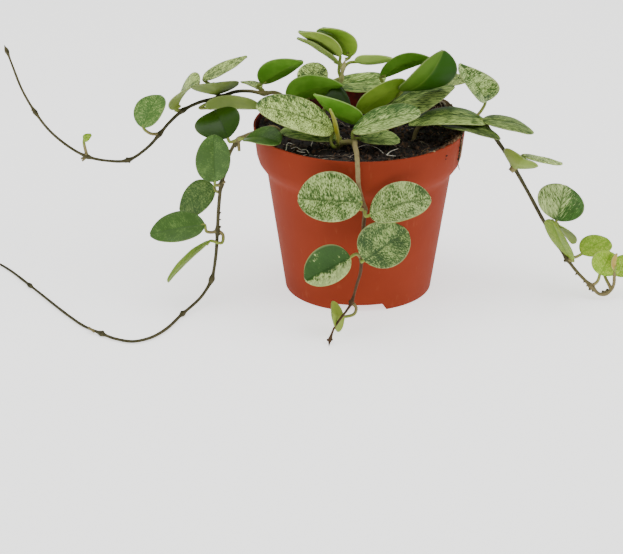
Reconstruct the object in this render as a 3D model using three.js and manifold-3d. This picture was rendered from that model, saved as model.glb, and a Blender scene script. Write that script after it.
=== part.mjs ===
// A small round-leaved trailing hoya in a 12 cm nursery pot.
// Millimetres, +Z up. The pot's axis is Z, it stands on z = 0, and its front faces -Y.

import * as THREE from "three";
import { mergeVertices } from "three/addons/utils/BufferGeometryUtils.js";
import Module from "manifold-3d";

const wasm = await Module();
wasm.setup();

// Pot
const RIM_RADIUS = 60;
const POT_HEIGHT = 97;
const WALL = 1.2;
const COLLAR = [
  [52.8, 71.5],
  [54.8, 74],
  [56.9, 77],
  [58.1, 81],
];
const BODY_TOP_RADIUS = 52.1;
const BODY_TOP = 69;
const FOOT_RADIUS = 42;
const FOOT_WIDTH = 1.8;
const FLOOR_RISE = 4.2;
const PAD_RADIUS = 17;
const PAD_SLOPE = 4;
const POT_SIDES = 48;
const NOTCH_WIDTH = 26;
const NOTCH_FLARE = 3;
const NOTCH_HEIGHT = 4;
const NOTCH_TURNS = [-90, 30, 150];
const DRAIN_RADIUS = 3.5;
const DRAIN_RING = 30;
const DRAIN_HOLES = 6;
const DRAIN_SIDES = 12;

// Soil
const GAP = 0.5;
const SOIL_LEVEL = 88.5;
const SOIL_SLOPE = 0.05;
const SOIL_RADIUS = 57;
const SOIL_SIDES = 32;
const SOIL_RINGS = [51, 43, 32, 18];
const CRUMBS = 0.7;
const CLUMP = { x: 48, y: 21, rise: 11, spread: 7.5 };

// Plant
const STEM_SIDES = 5;
const STALK_SIDES = 4;
const STALK_THICK = 1.15;
const STALK_THIN = 0.85;
const STALK_END = 2.2;
const STALK_APPROACH = 4;
const NODE_SWELL = 0.55;
const NODE_LENGTH = 4;
const STEM_STEP = 9;
const EDGE_THICKNESS = 0.7;
const MIDRIB_THICKNESS = 1.5;
const BLADE_END = 0.8;
const BLADE_ROWS = 5;
const BLADE_COLUMNS = 4;
const SMALL_BLADE = 17;

const rad = THREE.MathUtils.degToRad;

// A leaf blade: the stem point that its stalk leaves, the foot of the blade, where the blade points
// [compass heading from +X, rise above level, roll about its midrib], its [length, width], and its shape:
// cup is how far its two halves are raised in degrees, arch how far the midrib bows up in the middle,
// lean the share by which its left half is wider, and point the form of its tip (0.4 blunt, 0.8 sharp).
// Its stalk bends through the points in via.
const PLAIN_BLADE = { cup: 8, arch: 1, lean: 0, point: 0.5, via: [] };

function blade(stem, base, [heading, rise, roll], [long, wide], shape = {}) {
  return { stem, base, heading, rise, roll, long, wide, ...PLAIN_BLADE, ...shape };
}

// Each stem is a smooth curve through its points, thick at the soil and thin at its tip,
// with a swelling at each of its joints, given by the number of the point.
const PLANTS = {
  vine_front: {
    thick: 1.6,
    thin: 0.8,
    joints: [2, 9, 12, 15],
    points: [
      [-8, -20, 76], [-8, -20, 90], [-6, -22, 95], [-3, -38, 98], [-2.5, -55, 100.5], [-2.3, -62, 99.6],
      [-2, -65, 94.5], [-1.5, -64.5, 86], [0, -64.5, 79], [2, -65, 71.5], [1.5, -65, 64], [1, -65, 53.5],
      [0.5, -64.5, 42.5], [0, -64, 34], [-2, -62.5, 25.5], [-5.5, -62, 16], [-8.5, -63, 12],
      [-12.5, -64.5, 6.5], [-15, -67.5, 1.8], [-17, -78, 1.2], [-17.5, -88, 1.2],
    ],
    blades: [
      blade(2, [-15, -23, 102], [-163, 23, -38], [48, 24], { cup: 10, arch: 3 }),
      blade(2, [-4, -25, 102], [-12, 20, 24], [40, 21], { cup: 10, arch: 2 }),
      blade(2, [0, -22, 96.5], [-4, -2, 8], [22, 18]),
      blade(2, [-13, -20, 96.5], [-174, 8, 0], [31, 17], { arch: 1.5, point: 0.6 }),
      blade(2, [-13, -25, 96], [-139, 76, -19], [22, 10], { cup: 16, point: 0.75 }),
      blade(9, [0, -68, 77], [-171, 7, -67], [35, 28], { lean: -0.15 }),
      blade(9, [5, -69, 70], [0, 16, 34], [34, 27], { cup: 16, arch: 2.4, point: 0.55 }),
      blade(12, [2, -68, 43], [-9, 40, 93], [30, 29], { cup: 10, lean: 0.13 }),
      blade(12, [-6, -69, 45], [-157, -19, -63], [28, 24], { cup: 26, lean: -0.2 }),
      blade(15, [-9, -71, 10], [-118, 27, 113], [16, 18], {
        via: [[-3.5, -63.5, 12], [-5, -67, 9]],
        point: 0.65,
      }),
    ],
  },
  vine_left_low: {
    thick: 1.4,
    thin: 0.8,
    joints: [4, 8, 10, 12, 16, 21, 24],
    points: [
      [-44, 2, 76], [-44, 1, 90], [-48, -6, 98], [-56, -16, 100], [-67, -24, 93], [-71, -24, 87.5],
      [-72.5, -24, 81.5], [-75, -24.5, 76], [-77.5, -25, 70.5], [-79, -26.5, 58.5], [-80, -28, 43.5],
      [-81, -30, 29.5], [-83.5, -32, 15.5], [-86, -34, 11], [-90, -38, 6.5], [-95, -42, 3], [-99.5, -49, 1.8],
      [-108, -69, 1.4], [-116, -80, 1.4], [-125, -84.5, 1.4], [-135, -81, 1.4], [-143, -75, 1.7],
      [-153, -65, 1.3], [-162.5, -52, 1.3], [-189.5, -9.5, 1.6], [-203.5, 13, 1.2], [-212, 24, 1.2],
    ],
    blades: [
      blade(4, [-64, -28, 98.5], [-27, 3, 9], [22, 20], { cup: 14, arch: 2.4, point: 0.4 }),
      blade(4, [-68, -24, 103], [-151, 15, -90], [27, 25], {
        via: [[-69, -25, 98]],
        cup: 34,
        lean: -0.35,
      }),
      blade(8, [-81, -27, 73], [-128, 88, -124], [28, 21], { cup: 11, lean: 0.12 }),
      blade(8, [-83, -28, 72], [-168, -44, -24], [24, 22], {
        via: [[-78.5, -26, 66.5], [-81, -27, 67]],
        cup: 4,
      }),
      blade(10, [-87, -30, 48], [-175, -10, -35], [31, 21], {
        via: [[-83, -29, 43], [-86, -30, 44]],
        cup: 14,
        point: 0.6,
      }),
      blade(10, [-84, -32, 39], [-173, -44, 6], [34, 18], {
        via: [[-77, -27.5, 41], [-77.5, -30, 37]],
        cup: 4,
      }),
    ],
  },
  vine_left_high: {
    thick: 1.3,
    thin: 0.7,
    joints: [5, 8, 10, 12, 14, 16, 19, 21],
    points: [
      [-38, 20, 76], [-38, 20, 92], [-41, 17, 103], [-43.5, 14, 109], [-48, 11.5, 112], [-54, 10, 112],
      [-62, 8, 114], [-70, 7, 114], [-79, 6, 111], [-90, 5, 108.5], [-99.5, 4, 104], [-107, 3, 97.5],
      [-113, 2, 90.5], [-119.5, 0, 83.5], [-131, -3, 76.5], [-142.5, -4, 76.5], [-154, -5, 79.5],
      [-163.5, -5, 85], [-174.5, -4, 94.5], [-182.5, -2, 105], [-189.5, 1, 117], [-196, 4.5, 134],
      [-199, 6, 142],
    ],
    blades: [
      blade(5, [-55, 9, 118], [-23, 34, -36], [30, 23], { cup: 12, arch: 2, point: 0.7 }),
      blade(5, [-56, 12, 114], [144, 5, 12], [13, 13]),
      blade(8, [-79, 6, 113], [-92, 32, 7], [26, 26], { cup: 12, arch: 0, point: 0.6 }),
      blade(8, [-86, 6, 105], [-17, 6, -37], [33, 21], { cup: 12, point: 0.4 }),
      blade(8, [-88, 8, 121], [13, 25, 0], [28, 18], { cup: 6, arch: 0, point: 0.8, via: [[-82, 9, 116]] }),
      blade(10, [-103, 4, 105], [-36, 49, 21], [25, 26], { cup: 20, arch: 3, point: 0.4 }),
      blade(12, [-122, 0, 95], [51, 46, -5], [20, 21], { arch: 1.5, via: [[-118, 1, 91]] }),
      blade(16, [-155, -6, 89], [-55, 55, 85], [8, 4.5]),
    ],
  },
  vine_right: {
    thick: 1.4,
    thin: 0.75,
    joints: [6, 8, 11, 13, 15, 17],
    points: [
      [31, -3, 76], [31, -3, 90], [34, -3, 97], [42, -4, 99.5], [52, -5, 100.2], [61, -6.5, 100.8],
      [71, -8, 98], [79, -9.5, 88.5], [87, -12, 76], [96.5, -14, 59.5], [104.5, -16, 45],
      [108, -17, 39.5], [112.5, -18, 32], [118.5, -20, 23], [124.5, -22, 15.5], [132.5, -25, 8],
      [137.5, -26, 3.5], [141, -26, 4.5], [143, -26, 8.5], [143.5, -25, 13.5], [142.5, -24, 20],
      [142, -23, 26],
    ],
    blades: [
      blade(5, [76, -6, 113], [174, 43, -66], [29, 16], {
        via: [[65, 4, 102], [68, 0, 108]],
        cup: 26,
        arch: 2.6,
        lean: -0.15,
        point: 0.75,
      }),
      blade(6, [69, -8, 102], [4, -15, 2], [30, 22], { cup: 0, arch: 2.4, point: 0.6 }),
      blade(6, [71, -6, 101], [-172, 0, -5], [44, 24], { cup: 0, arch: 5, point: 0.75 }),
      blade(4, [53, -13, 100], [-18, -9, -3], [27, 16], { arch: 2 }),
      blade(8, [87, -13, 76], [-79, 33, -34], [23, 24], { cup: 26, arch: -1, point: 0.65 }),
      blade(8, [92, -8, 81], [14, -16, -6], [25, 19], {
        via: [[89.5, -9, 78.5]],
        cup: 2,
        arch: 0,
        point: 0.6,
      }),
      blade(11, [112, -17, 45.5], [70, 52, 36], [21, 30], { cup: 2, via: [[110.5, -18, 42]] }),
      blade(13, [121, -23, 24.5], [-153, 61, -176], [30, 21], { cup: 6, lean: 0.08, point: 0.42 }),
      blade(11, [113, -16, 42], [49, -47, 11], [22, 14], { arch: 1.3, point: 0.6 }),
      blade(13, [127, -20, 26], [34, 19, 15], [15, 20], { lean: -0.09 }),
      blade(15, [137, -26, 16], [29, 61, 69], [14, 19], { via: [[135.8, -26, 11.5]] }),
      blade(18, [144, -19, 15], [21, 12, 57], [17, 13], { point: 0.6 }),
    ],
  },
  shoot_top: {
    thick: 1.6,
    thin: 1.2,
    joints: [4, 5],
    points: [
      [-17, 10, 76], [-17, 10, 90], [-13, 10, 106], [-11, 10, 115], [-10, 10, 122], [-8.5, 10, 128],
      [-7, 10, 132],
    ],
    blades: [
      blade(6, [-11, 8, 135], [-164, 34, 31], [29, 18], { cup: 4, arch: 2.6, point: 0.68 }),
      blade(6, [-4, 10, 135], [-158, 39, 27], [28, 22], { cup: 12, arch: 3.2, via: [[-4.5, 10.5, 132.5]] }),
      blade(5, [-11, 11, 129], [178, 33, 25], [28, 16], { cup: 4, arch: 1.4, point: 0.55 }),
      blade(5, [-2, 12, 130], [-21, 13, -36], [22, 17], { cup: 5, arch: 0, point: 0.7 }),
      blade(4, [-8, 14, 118.5], [24, 0, 10], [26, 19], { cup: 4, arch: 0, point: 0.6 }),
    ],
  },
  shoot_center: {
    thick: 1.5,
    thin: 1.1,
    joints: [2],
    points: [[1, -8, 76], [1, -8, 90], [0, -9, 98], [-1, -6, 104]],
    blades: [
      blade(2, [0, -13, 102], [-173, 36, 46], [32, 18], { cup: 12, arch: -1.5, lean: 0.2, point: 0.95 }),
      blade(2, [-1, -5, 106], [-8, 39, -47], [33, 21], { cup: 3, arch: 0, point: 0.54 }),
      blade(3, [-5, 0, 106], [160, 50, 10], [12, 9], { cup: 18 }),
    ],
  },
  shoot_left: {
    thick: 1.5,
    thin: 1.1,
    joints: [2],
    points: [[-30, 8, 76], [-30, 8, 90], [-32, 8, 100], [-33, 9, 106]],
    blades: [
      blade(2, [-41, 4, 112], [-8, 15, -54], [33, 24], { arch: 2.3, point: 0.85, via: [[-37, 7, 107]] }),
      blade(3, [-27, 12, 114], [69, 63, -13], [15, 21], { cup: 3 }),
    ],
  },
  shoot_right: {
    thick: 1.6,
    thin: 1.2,
    joints: [2, 3],
    points: [[16, 9, 76], [16, 9, 90], [17, 9, 99], [17, 10, 107], [16, 11, 112]],
    blades: [
      blade(4, [12, 12, 121], [-14, 24, -59], [32, 13], {
        via: [[14, 11, 117]],
        cup: 12,
        arch: 4.6,
        point: 0.6,
      }),
      blade(3, [25, 6, 116], [-7, 41, -51], [34, 30], { cup: 16, arch: -4, lean: 0.28, point: 0.42 }),
      blade(2, [23, 0, 107], [20, 15, 12], [32, 24], { cup: -10, arch: 2.4, lean: 0.13, point: 0.7 }),
      blade(4, [33, 16, 114], [6, 9, 7], [28, 15], { arch: 1.5 }),
    ],
  },
};

// A closed body through rings of points. A blade's ring runs out over its upper face and back under it,
// and its quads are split alike on both faces.
function loft(rings, splitAlike = false) {
  const size = rings[0].length;
  const positions = rings.flat().flatMap((p) => [p.x, p.y, p.z]);
  const index = [];
  for (let i = 0; i < rings.length - 1; i++) {
    for (let j = 0; j < size; j++) {
      const a = i * size + j;
      const b = i * size + ((j + 1) % size);
      const c = b + size;
      const d = a + size;
      if (splitAlike && j >= size / 2) index.push(a, b, d, b, c, d);
      else index.push(a, b, c, a, c, d);
    }
  }
  const last = (rings.length - 1) * size;
  for (let j = 0; j < size / 2 - 1; j++) {
    const k = size - 1 - j;
    index.push(j, k, j + 1, last + j, last + j + 1, last + k);
    if (j + 1 !== k - 1) index.push(j + 1, k, k - 1, last + j + 1, last + k - 1, last + k);
  }
  const geometry = new THREE.BufferGeometry();
  geometry.setAttribute("position", new THREE.Float32BufferAttribute(positions, 3));
  geometry.setIndex(index);
  return geometry;
}

function solid(geometry) {
  const bare = new THREE.BufferGeometry();
  bare.setAttribute("position", geometry.getAttribute("position"));
  if (geometry.index) bare.setIndex(geometry.index);
  const merged = mergeVertices(bare, 1e-4);
  const vertProperties = new Float32Array(merged.getAttribute("position").array);
  let triVerts = new Uint32Array(merged.index.array);
  triVerts = triVerts.filter((_, i) => {
    const [a, b, c] = merged.index.array.slice(i - (i % 3), i - (i % 3) + 3);
    return a !== b && b !== c && c !== a;
  });
  if (signedVolume(vertProperties, triVerts) < 0) triVerts.reverse();
  return new wasm.Manifold(new wasm.Mesh({ numProp: 3, vertProperties, triVerts }));
}

function signedVolume(points, triangles) {
  const corner = (k) => new THREE.Vector3().fromArray(points, 3 * triangles[k]);
  let volume = 0;
  for (let i = 0; i < triangles.length; i += 3) {
    volume += corner(i).dot(corner(i + 1).cross(corner(i + 2))) / 6;
  }
  return volume;
}

function joined(solids) {
  return solids.reduce((whole, piece) => whole.add(piece));
}

function mesh(name, manifold, color, roughness) {
  const { vertProperties, triVerts } = manifold.getMesh();
  const geometry = new THREE.BufferGeometry();
  geometry.setAttribute("position", new THREE.BufferAttribute(vertProperties, 3));
  geometry.setIndex(new THREE.BufferAttribute(triVerts, 1));
  geometry.computeVertexNormals();
  const material = new THREE.MeshStandardMaterial({ color, roughness, metalness: 0 });
  const result = new THREE.Mesh(geometry, material);
  result.name = name;
  return result;
}

// A body of revolution about Z from [radius, height] pairs.
function turned(profile, sides) {
  const lathe = new THREE.LatheGeometry(profile.map(([r, z]) => new THREE.Vector2(r, z)), sides);
  return lathe.rotateX(Math.PI / 2);
}

// A rod through the points, with its radius given along it.
function rod(route, radiusAt, sides) {
  let side = new THREE.Vector3(0.6, 0.8, 0);
  const rings = route.map((centre, i) => {
    const before = route[Math.max(i - 1, 0)];
    const after = route[Math.min(i + 1, route.length - 1)];
    const tangent = after.clone().sub(before).normalize();
    side = side.clone().addScaledVector(tangent, -side.dot(tangent)).normalize();
    const across = new THREE.Vector3().crossVectors(tangent, side);
    const radius = radiusAt(i / (route.length - 1), centre);
    return Array.from({ length: sides }, (_, j) => {
      const turn = (2 * Math.PI * j) / sides;
      const point = centre.clone().addScaledVector(side, radius * Math.cos(turn));
      return point.addScaledVector(across, radius * Math.sin(turn));
    });
  });
  return loft(rings);
}

function vectors(points) {
  return points.map((p) => new THREE.Vector3(...p));
}

// The smooth curve through the points, with a step at each and more where they lie far apart.
function smooth(points, step) {
  const spans = points.length - 1;
  const curve = new THREE.CatmullRomCurve3(points, false, "centripetal");
  const route = [];
  for (let k = 0; k < spans; k++) {
    const parts = Math.max(1, Math.round(points[k].distanceTo(points[k + 1]) / step));
    for (let i = 0; i < parts; i++) {
      route.push(curve.getPoint((k + i / parts) / spans));
    }
  }
  return [...route, points.at(-1)];
}

// A blade's half width at t along it, as a share of its widest.
function outline(t, point) {
  const widest = 0.5 / (0.5 + point);
  return (Math.sqrt(t) * (1 - t) ** point) / (Math.sqrt(widest) * (1 - widest) ** point);
}

// The blade's own directions: along its midrib, out of its upper face, and to its left.
function bladeAxes({ heading, rise, roll }) {
  const along = new THREE.Vector3(Math.cos(rad(heading)), Math.sin(rad(heading)), 0);
  along.multiplyScalar(Math.cos(rad(rise))).setZ(Math.sin(rad(rise)));
  const upright = new THREE.Vector3(0, 0, 1).addScaledVector(along, -along.z).normalize();
  const face = upright.applyAxisAngle(along, rad(roll));
  const left = new THREE.Vector3().crossVectors(face, along);
  return { along, face, left };
}

// A point in the middle of the blade's thickness, at t along it and q across it, from 1 at its left
// margin to -1 at its right.
function bladePoint(spec, half, t, q) {
  const { along, face, left } = bladeAxes(spec);
  const reach = half * Math.abs(q) * (1 + Math.sign(q) * spec.lean);
  const arched = 4 * spec.arch * t * (1 - t);
  const cupped = reach * Math.sin(rad(spec.cup)) * Math.sqrt(Math.abs(q));
  const point = new THREE.Vector3(...spec.base).addScaledVector(along, spec.long * t);
  point.addScaledVector(face, arched + cupped);
  return point.addScaledVector(left, Math.sign(q) * reach * Math.cos(rad(spec.cup)));
}

function bladeBody(spec) {
  const { face } = bladeAxes(spec);
  const small = spec.long < SMALL_BLADE;
  const rows = small ? BLADE_ROWS - 1 : BLADE_ROWS;
  const columns = small ? 2 : BLADE_COLUMNS;
  const rings = [];
  for (let i = 0; i <= rows; i++) {
    const t = (1 - Math.cos((Math.PI * i) / rows)) / 2;
    const end = i === 0 || i === rows;
    const half = end ? BLADE_END : (spec.wide / 2) * outline(t, spec.point);
    const upper = [];
    const under = [];
    for (let j = 0; j <= columns; j++) {
      const q = 1 - (2 * j) / columns;
      const body = end ? 1 : Math.sqrt(Math.sin(Math.PI * t));
      const thick = EDGE_THICKNESS + (MIDRIB_THICKNESS - EDGE_THICKNESS) * body * (1 - q * q);
      const middle = bladePoint(spec, half, t, q);
      upper.push(middle.clone().addScaledVector(face, thick / 2));
      under.unshift(middle.addScaledVector(face, -thick / 2));
    }
    rings.push([...upper, ...under]);
  }
  return solid(loft(rings, true));
}

// The stalk runs from inside the stem, through its bends, into the foot of the blade.
function stalkBody(spec, stemPoints) {
  const { along } = bladeAxes(spec);
  const start = new THREE.Vector3(...stemPoints[spec.stem]);
  const base = new THREE.Vector3(...spec.base);
  const bends = vectors(spec.via);
  if (bends.length === 0) {
    const approach = Math.min(start.distanceTo(base) / 2, STALK_APPROACH);
    bends.push(base.clone().addScaledVector(along, -approach));
  }
  const end = base.clone().addScaledVector(along, STALK_END);
  const radiusAt = (s) => THREE.MathUtils.lerp(STALK_THICK, STALK_THIN, s);
  return solid(rod([start, ...bends, end], radiusAt, STALK_SIDES));
}

function stemBody({ points, thick, thin, joints }) {
  const swellings = joints.map((k) => new THREE.Vector3(...points[k]));
  const radiusAt = (s, here) => {
    const nearest = Math.min(...swellings.map((p) => p.distanceTo(here)));
    const swelling = NODE_SWELL * Math.max(0, 1 - nearest / NODE_LENGTH);
    return THREE.MathUtils.lerp(thick, thin, s) + swelling;
  };
  return solid(rod(smooth(vectors(points), STEM_STEP), radiusAt, STEM_SIDES));
}

function plantBody(spec) {
  const pieces = [stemBody(spec)];
  for (const leaf of spec.blades) pieces.push(bladeBody(leaf), stalkBody(leaf, spec.points));
  return joined(pieces);
}

// The plain hole in the soil that a stem stands in.
function stemHole({ points, thick }) {
  const route = vectors(points.slice(0, 4));
  route[0].z -= GAP;
  return solid(rod(route, () => thick + 2 * GAP, 8));
}

// The pot's outside from its foot up to the rim: body, shoulder, flared collar.
function wallProfile(inset) {
  const foot = FOOT_RADIUS + ((BODY_TOP_RADIUS - FOOT_RADIUS) * FLOOR_RISE) / BODY_TOP;
  const points = [[foot, FLOOR_RISE], [BODY_TOP_RADIUS, BODY_TOP], ...COLLAR, [RIM_RADIUS, POT_HEIGHT]];
  return points.map(([r, z]) => [r - inset, z]);
}

function pot() {
  const inside = wallProfile(WALL).slice(1).reverse();
  const floorTop = FLOOR_RISE + WALL;
  const profile = [
    [0, 0],
    [PAD_RADIUS, 0],
    [PAD_RADIUS + PAD_SLOPE, FLOOR_RISE],
    [FOOT_RADIUS - FOOT_WIDTH, FLOOR_RISE],
    [FOOT_RADIUS - FOOT_WIDTH, 0],
    [FOOT_RADIUS, 0],
    ...wallProfile(0),
    ...inside,
    [FOOT_RADIUS - WALL, floorTop],
    [PAD_RADIUS + PAD_SLOPE - WALL / 2, floorTop],
    [PAD_RADIUS - WALL / 2, WALL],
    [0, WALL],
  ];
  let body = solid(turned(profile, POT_SIDES));
  for (const turn of NOTCH_TURNS) {
    body = body.subtract(solid(notchCutter().rotateZ(rad(turn))));
  }
  for (let k = 0; k < DRAIN_HOLES; k++) {
    const turn = (360 * (k + 0.5)) / DRAIN_HOLES;
    body = body.subtract(solid(drainCutter().rotateZ(rad(turn))));
  }
  return body;
}

// What a notch takes out of the foot ring at +X.
function notchCutter() {
  const top = NOTCH_WIDTH / 2;
  const shape = new THREE.Shape([
    new THREE.Vector2(-top - NOTCH_FLARE, -1),
    new THREE.Vector2(top + NOTCH_FLARE, -1),
    new THREE.Vector2(top, NOTCH_HEIGHT),
    new THREE.Vector2(-top, NOTCH_HEIGHT),
  ]);
  const reach = FOOT_RADIUS / 2;
  const cutter = new THREE.ExtrudeGeometry(shape, { depth: reach, bevelEnabled: false });
  return cutter.rotateX(Math.PI / 2).rotateZ(Math.PI / 2).translate(PAD_RADIUS + 2 * PAD_SLOPE, 0, 0);
}

// What a drain hole takes out of the floor at +X.
function drainCutter() {
  const drill = new THREE.CylinderGeometry(DRAIN_RADIUS, DRAIN_RADIUS, 4 * WALL, DRAIN_SIDES);
  return drill.rotateX(Math.PI / 2).translate(DRAIN_RING, 0, FLOOR_RISE + WALL / 2);
}

// The soil lies higher at the front, and a clump of roots stands up at the right behind.
function soilTop(x, y) {
  const away = Math.hypot(x - CLUMP.x, y - CLUMP.y) / CLUMP.spread;
  const clump = CLUMP.rise * Math.exp((-away * away) / 2);
  const crumbs = CRUMBS * (Math.sin(x / 3 + 1) * Math.cos(y / 4) + Math.sin(y / 2 + x / 5));
  return SOIL_LEVEL - SOIL_SLOPE * y + clump + crumbs;
}

function soil() {
  const edge = wallProfile(WALL + GAP).slice(1, -1);
  const floor = WALL + GAP;
  const profile = [
    [0, floor],
    [PAD_RADIUS - floor / 2, floor],
    [PAD_RADIUS + PAD_SLOPE - floor / 2, FLOOR_RISE + floor],
    [FOOT_RADIUS - floor, FLOOR_RISE + floor],
    ...edge,
    [SOIL_RADIUS, POT_HEIGHT],
    ...SOIL_RINGS.map((r) => [r, POT_HEIGHT]),
    [0, POT_HEIGHT],
  ];
  const geometry = turned(profile, SOIL_SIDES);
  const position = geometry.getAttribute("position");
  for (let i = 0; i < position.count; i++) {
    if (position.getZ(i) > POT_HEIGHT - GAP) {
      position.setZ(i, soilTop(position.getX(i), position.getY(i)));
    }
  }
  let body = solid(geometry);
  for (const spec of Object.values(PLANTS)) body = body.subtract(stemHole(spec));
  return body;
}

const group = new THREE.Group();
group.add(mesh("pot", pot(), 0xb4462b, 0.5));
group.add(mesh("soil", soil(), 0x2b1d16, 1));
for (const [name, spec] of Object.entries(PLANTS)) {
  group.add(mesh(name, plantBody(spec), 0x6f9254, 0.45));
}

export default group;
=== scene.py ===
"""A trailing hoya with silver-splashed leaves in a terracotta-coloured nursery pot.

The frame is in metres with +Z up: the pot's axis is Z, it stands on z = 0 and its front faces -Y.
Sizes and places here are in millimetres until a mesh is made.
"""

import logging
import math
import random
from collections.abc import Callable, Iterator
from dataclasses import dataclass, field
from enum import Enum

import bpy
from mathutils import Matrix, Vector, kdtree, noise

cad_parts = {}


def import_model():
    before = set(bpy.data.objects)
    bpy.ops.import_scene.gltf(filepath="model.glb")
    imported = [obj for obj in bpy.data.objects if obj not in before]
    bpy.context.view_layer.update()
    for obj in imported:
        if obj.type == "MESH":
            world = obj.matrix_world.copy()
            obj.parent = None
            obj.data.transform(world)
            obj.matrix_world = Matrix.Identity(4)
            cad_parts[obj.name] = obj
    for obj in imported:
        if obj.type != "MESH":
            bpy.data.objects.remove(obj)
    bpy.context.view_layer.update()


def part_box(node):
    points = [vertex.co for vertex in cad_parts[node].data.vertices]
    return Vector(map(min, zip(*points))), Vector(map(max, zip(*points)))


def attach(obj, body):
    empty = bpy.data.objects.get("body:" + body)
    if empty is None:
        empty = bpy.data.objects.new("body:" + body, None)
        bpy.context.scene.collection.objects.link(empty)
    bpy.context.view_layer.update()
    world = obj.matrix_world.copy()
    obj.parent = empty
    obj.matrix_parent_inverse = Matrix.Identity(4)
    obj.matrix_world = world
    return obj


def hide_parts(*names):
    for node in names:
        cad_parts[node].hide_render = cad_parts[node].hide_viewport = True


MM = 0.001
LOG = logging.getLogger("hoya")
SEED = 11

Material = bpy.types.Material
Piece = bpy.types.Object
Socket = bpy.types.NodeSocket
Triple = tuple[float, float, float]
Relief = tuple[Socket, float, float]  # Height, strength, and depth in mm.


# Meshes


def deselect() -> None:
    """Leaves edit mode and selects nothing."""
    if bpy.context.object and bpy.context.object.mode != "OBJECT":
        bpy.ops.object.mode_set(mode="OBJECT")
    bpy.ops.object.select_all(action="DESELECT")


def select(*pieces: Piece) -> None:
    """Selects only these pieces, the first one active."""
    deselect()
    for piece in pieces:
        piece.select_set(True)
    bpy.context.view_layer.objects.active = pieces[0]


def placed(operator: Callable, **settings) -> Piece:
    """Adds an object by one of the operators that make a basic form, and returns it."""
    deselect()
    operator(**settings)
    return bpy.context.object


def modify(piece: Piece, kind: str, **settings) -> None:
    """Adds a modifier to a piece and applies it.

    Args:
        piece: The piece to change.
        kind: The modifier's type.
        **settings: The modifier's own properties.
    """
    select(piece)
    modifier = piece.modifiers.new(kind.lower(), kind)
    for name, value in settings.items():
        setattr(modifier, name, value)
    bpy.ops.object.modifier_apply(modifier=modifier.name)


def smooth(piece: Piece) -> None:
    """Shades a piece as one smooth surface."""
    select(piece)
    bpy.ops.object.shade_smooth()


def clad(piece: Piece, *materials: Material) -> None:
    """Gives a piece these materials and no others."""
    piece.data.materials.clear()
    for material in materials:
        piece.data.materials.append(material)


def paint(piece: Piece, name: str, values: list[float] | float) -> None:
    """Stores a number for each vertex of a piece, or one for all, under a name that its material reads."""
    if not isinstance(values, list):
        values = [values] * len(piece.data.vertices)
    attribute = piece.data.attributes.new(name, "FLOAT", "POINT")
    attribute.data.foreach_set("value", values)


def joined(name: str, pieces: list[Piece]) -> Piece:
    """Joins pieces into one of the given name, and returns it."""
    select(*pieces)
    if len(pieces) > 1:
        bpy.ops.object.join()
    whole = bpy.context.view_layer.objects.active
    whole.name = whole.data.name = name
    return whole


def finished(piece: Piece, slot: str, *nodes: str) -> None:
    """Makes a piece ride on the part, hides the CAD nodes that it stands for, and logs it.

    Args:
        piece: The finished piece.
        slot: Not used.
        *nodes: The CAD nodes that it replaces.
    """
    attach(piece, "root")
    if nodes:
        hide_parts(*nodes)
    LOG.info("%s: %d faces", piece.name, len(piece.data.polygons))


def turned(name: str, profile: list[tuple[float, float]], steps: int) -> Piece:
    """Makes a closed body of revolution by extruding and scaling a ring.

    Args:
        name: The body's name.
        profile: Radius and height of each ring in mm; the first and last rings are capped.
        steps: Sides of the rings.

    Returns:
        The body, its faces pointing out.
    """
    radius, height = profile[0]
    body = placed(bpy.ops.mesh.primitive_circle_add, vertices=steps, radius=radius * MM, fill_type="NGON")
    body.name = name
    bpy.ops.transform.translate(value=(0, 0, height * MM))
    bpy.ops.object.transform_apply(location=True)
    bpy.ops.object.mode_set(mode="EDIT")
    bpy.ops.mesh.select_mode(type="EDGE")
    bpy.ops.mesh.select_all(action="SELECT")
    bpy.ops.mesh.region_to_loop()
    for next_radius, next_height in profile[1:]:
        rise = (0, 0, (next_height - height) * MM)
        bpy.ops.mesh.extrude_edges_move(TRANSFORM_OT_translate={"value": rise})
        share = next_radius / radius
        bpy.ops.transform.resize(value=(share, share, 1), center_override=(0, 0, next_height * MM))
        radius, height = next_radius, next_height
    bpy.ops.mesh.edge_face_add()
    bpy.ops.mesh.select_all(action="SELECT")
    bpy.ops.mesh.normals_make_consistent(inside=False)
    bpy.ops.object.mode_set(mode="OBJECT")
    return body


def cut(body: Piece, cutter: Piece) -> None:
    """Cuts one body out of another and removes it."""
    modify(body, "BOOLEAN", operation="DIFFERENCE", object=cutter, solver="EXACT")
    bpy.data.objects.remove(cutter)


def smooth_route(points: list[Triple], step: float) -> list[Vector]:
    """Runs a centripetal Catmull-Rom curve through points.

    Args:
        points: The places that the curve passes, in mm.
        step: Distance between the samples, in mm.

    Returns:
        The samples, the given points among them.
    """
    spots = [Vector(p) for p in points]
    spots = [2 * spots[0] - spots[1], *spots, 2 * spots[-1] - spots[-2]]
    route = []
    for before, start, end, after in zip(spots, spots[1:], spots[2:], spots[3:]):
        t1 = math.sqrt((start - before).length)
        t2 = t1 + math.sqrt((end - start).length)
        t3 = t2 + math.sqrt((after - end).length)
        parts = max(1, round((end - start).length / step))
        for i in range(parts):
            t = t1 + (t2 - t1) * i / parts
            a1 = before.lerp(start, t / t1)
            a2 = start.lerp(end, (t - t1) / (t2 - t1))
            a3 = end.lerp(after, (t - t2) / (t3 - t2))
            b1 = a1.lerp(a2, t / t2)
            b2 = a2.lerp(a3, (t - t1) / (t3 - t1))
            route.append(b1.lerp(b2, (t - t1) / (t2 - t1)))
    return [*route, spots[-2]]


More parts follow.
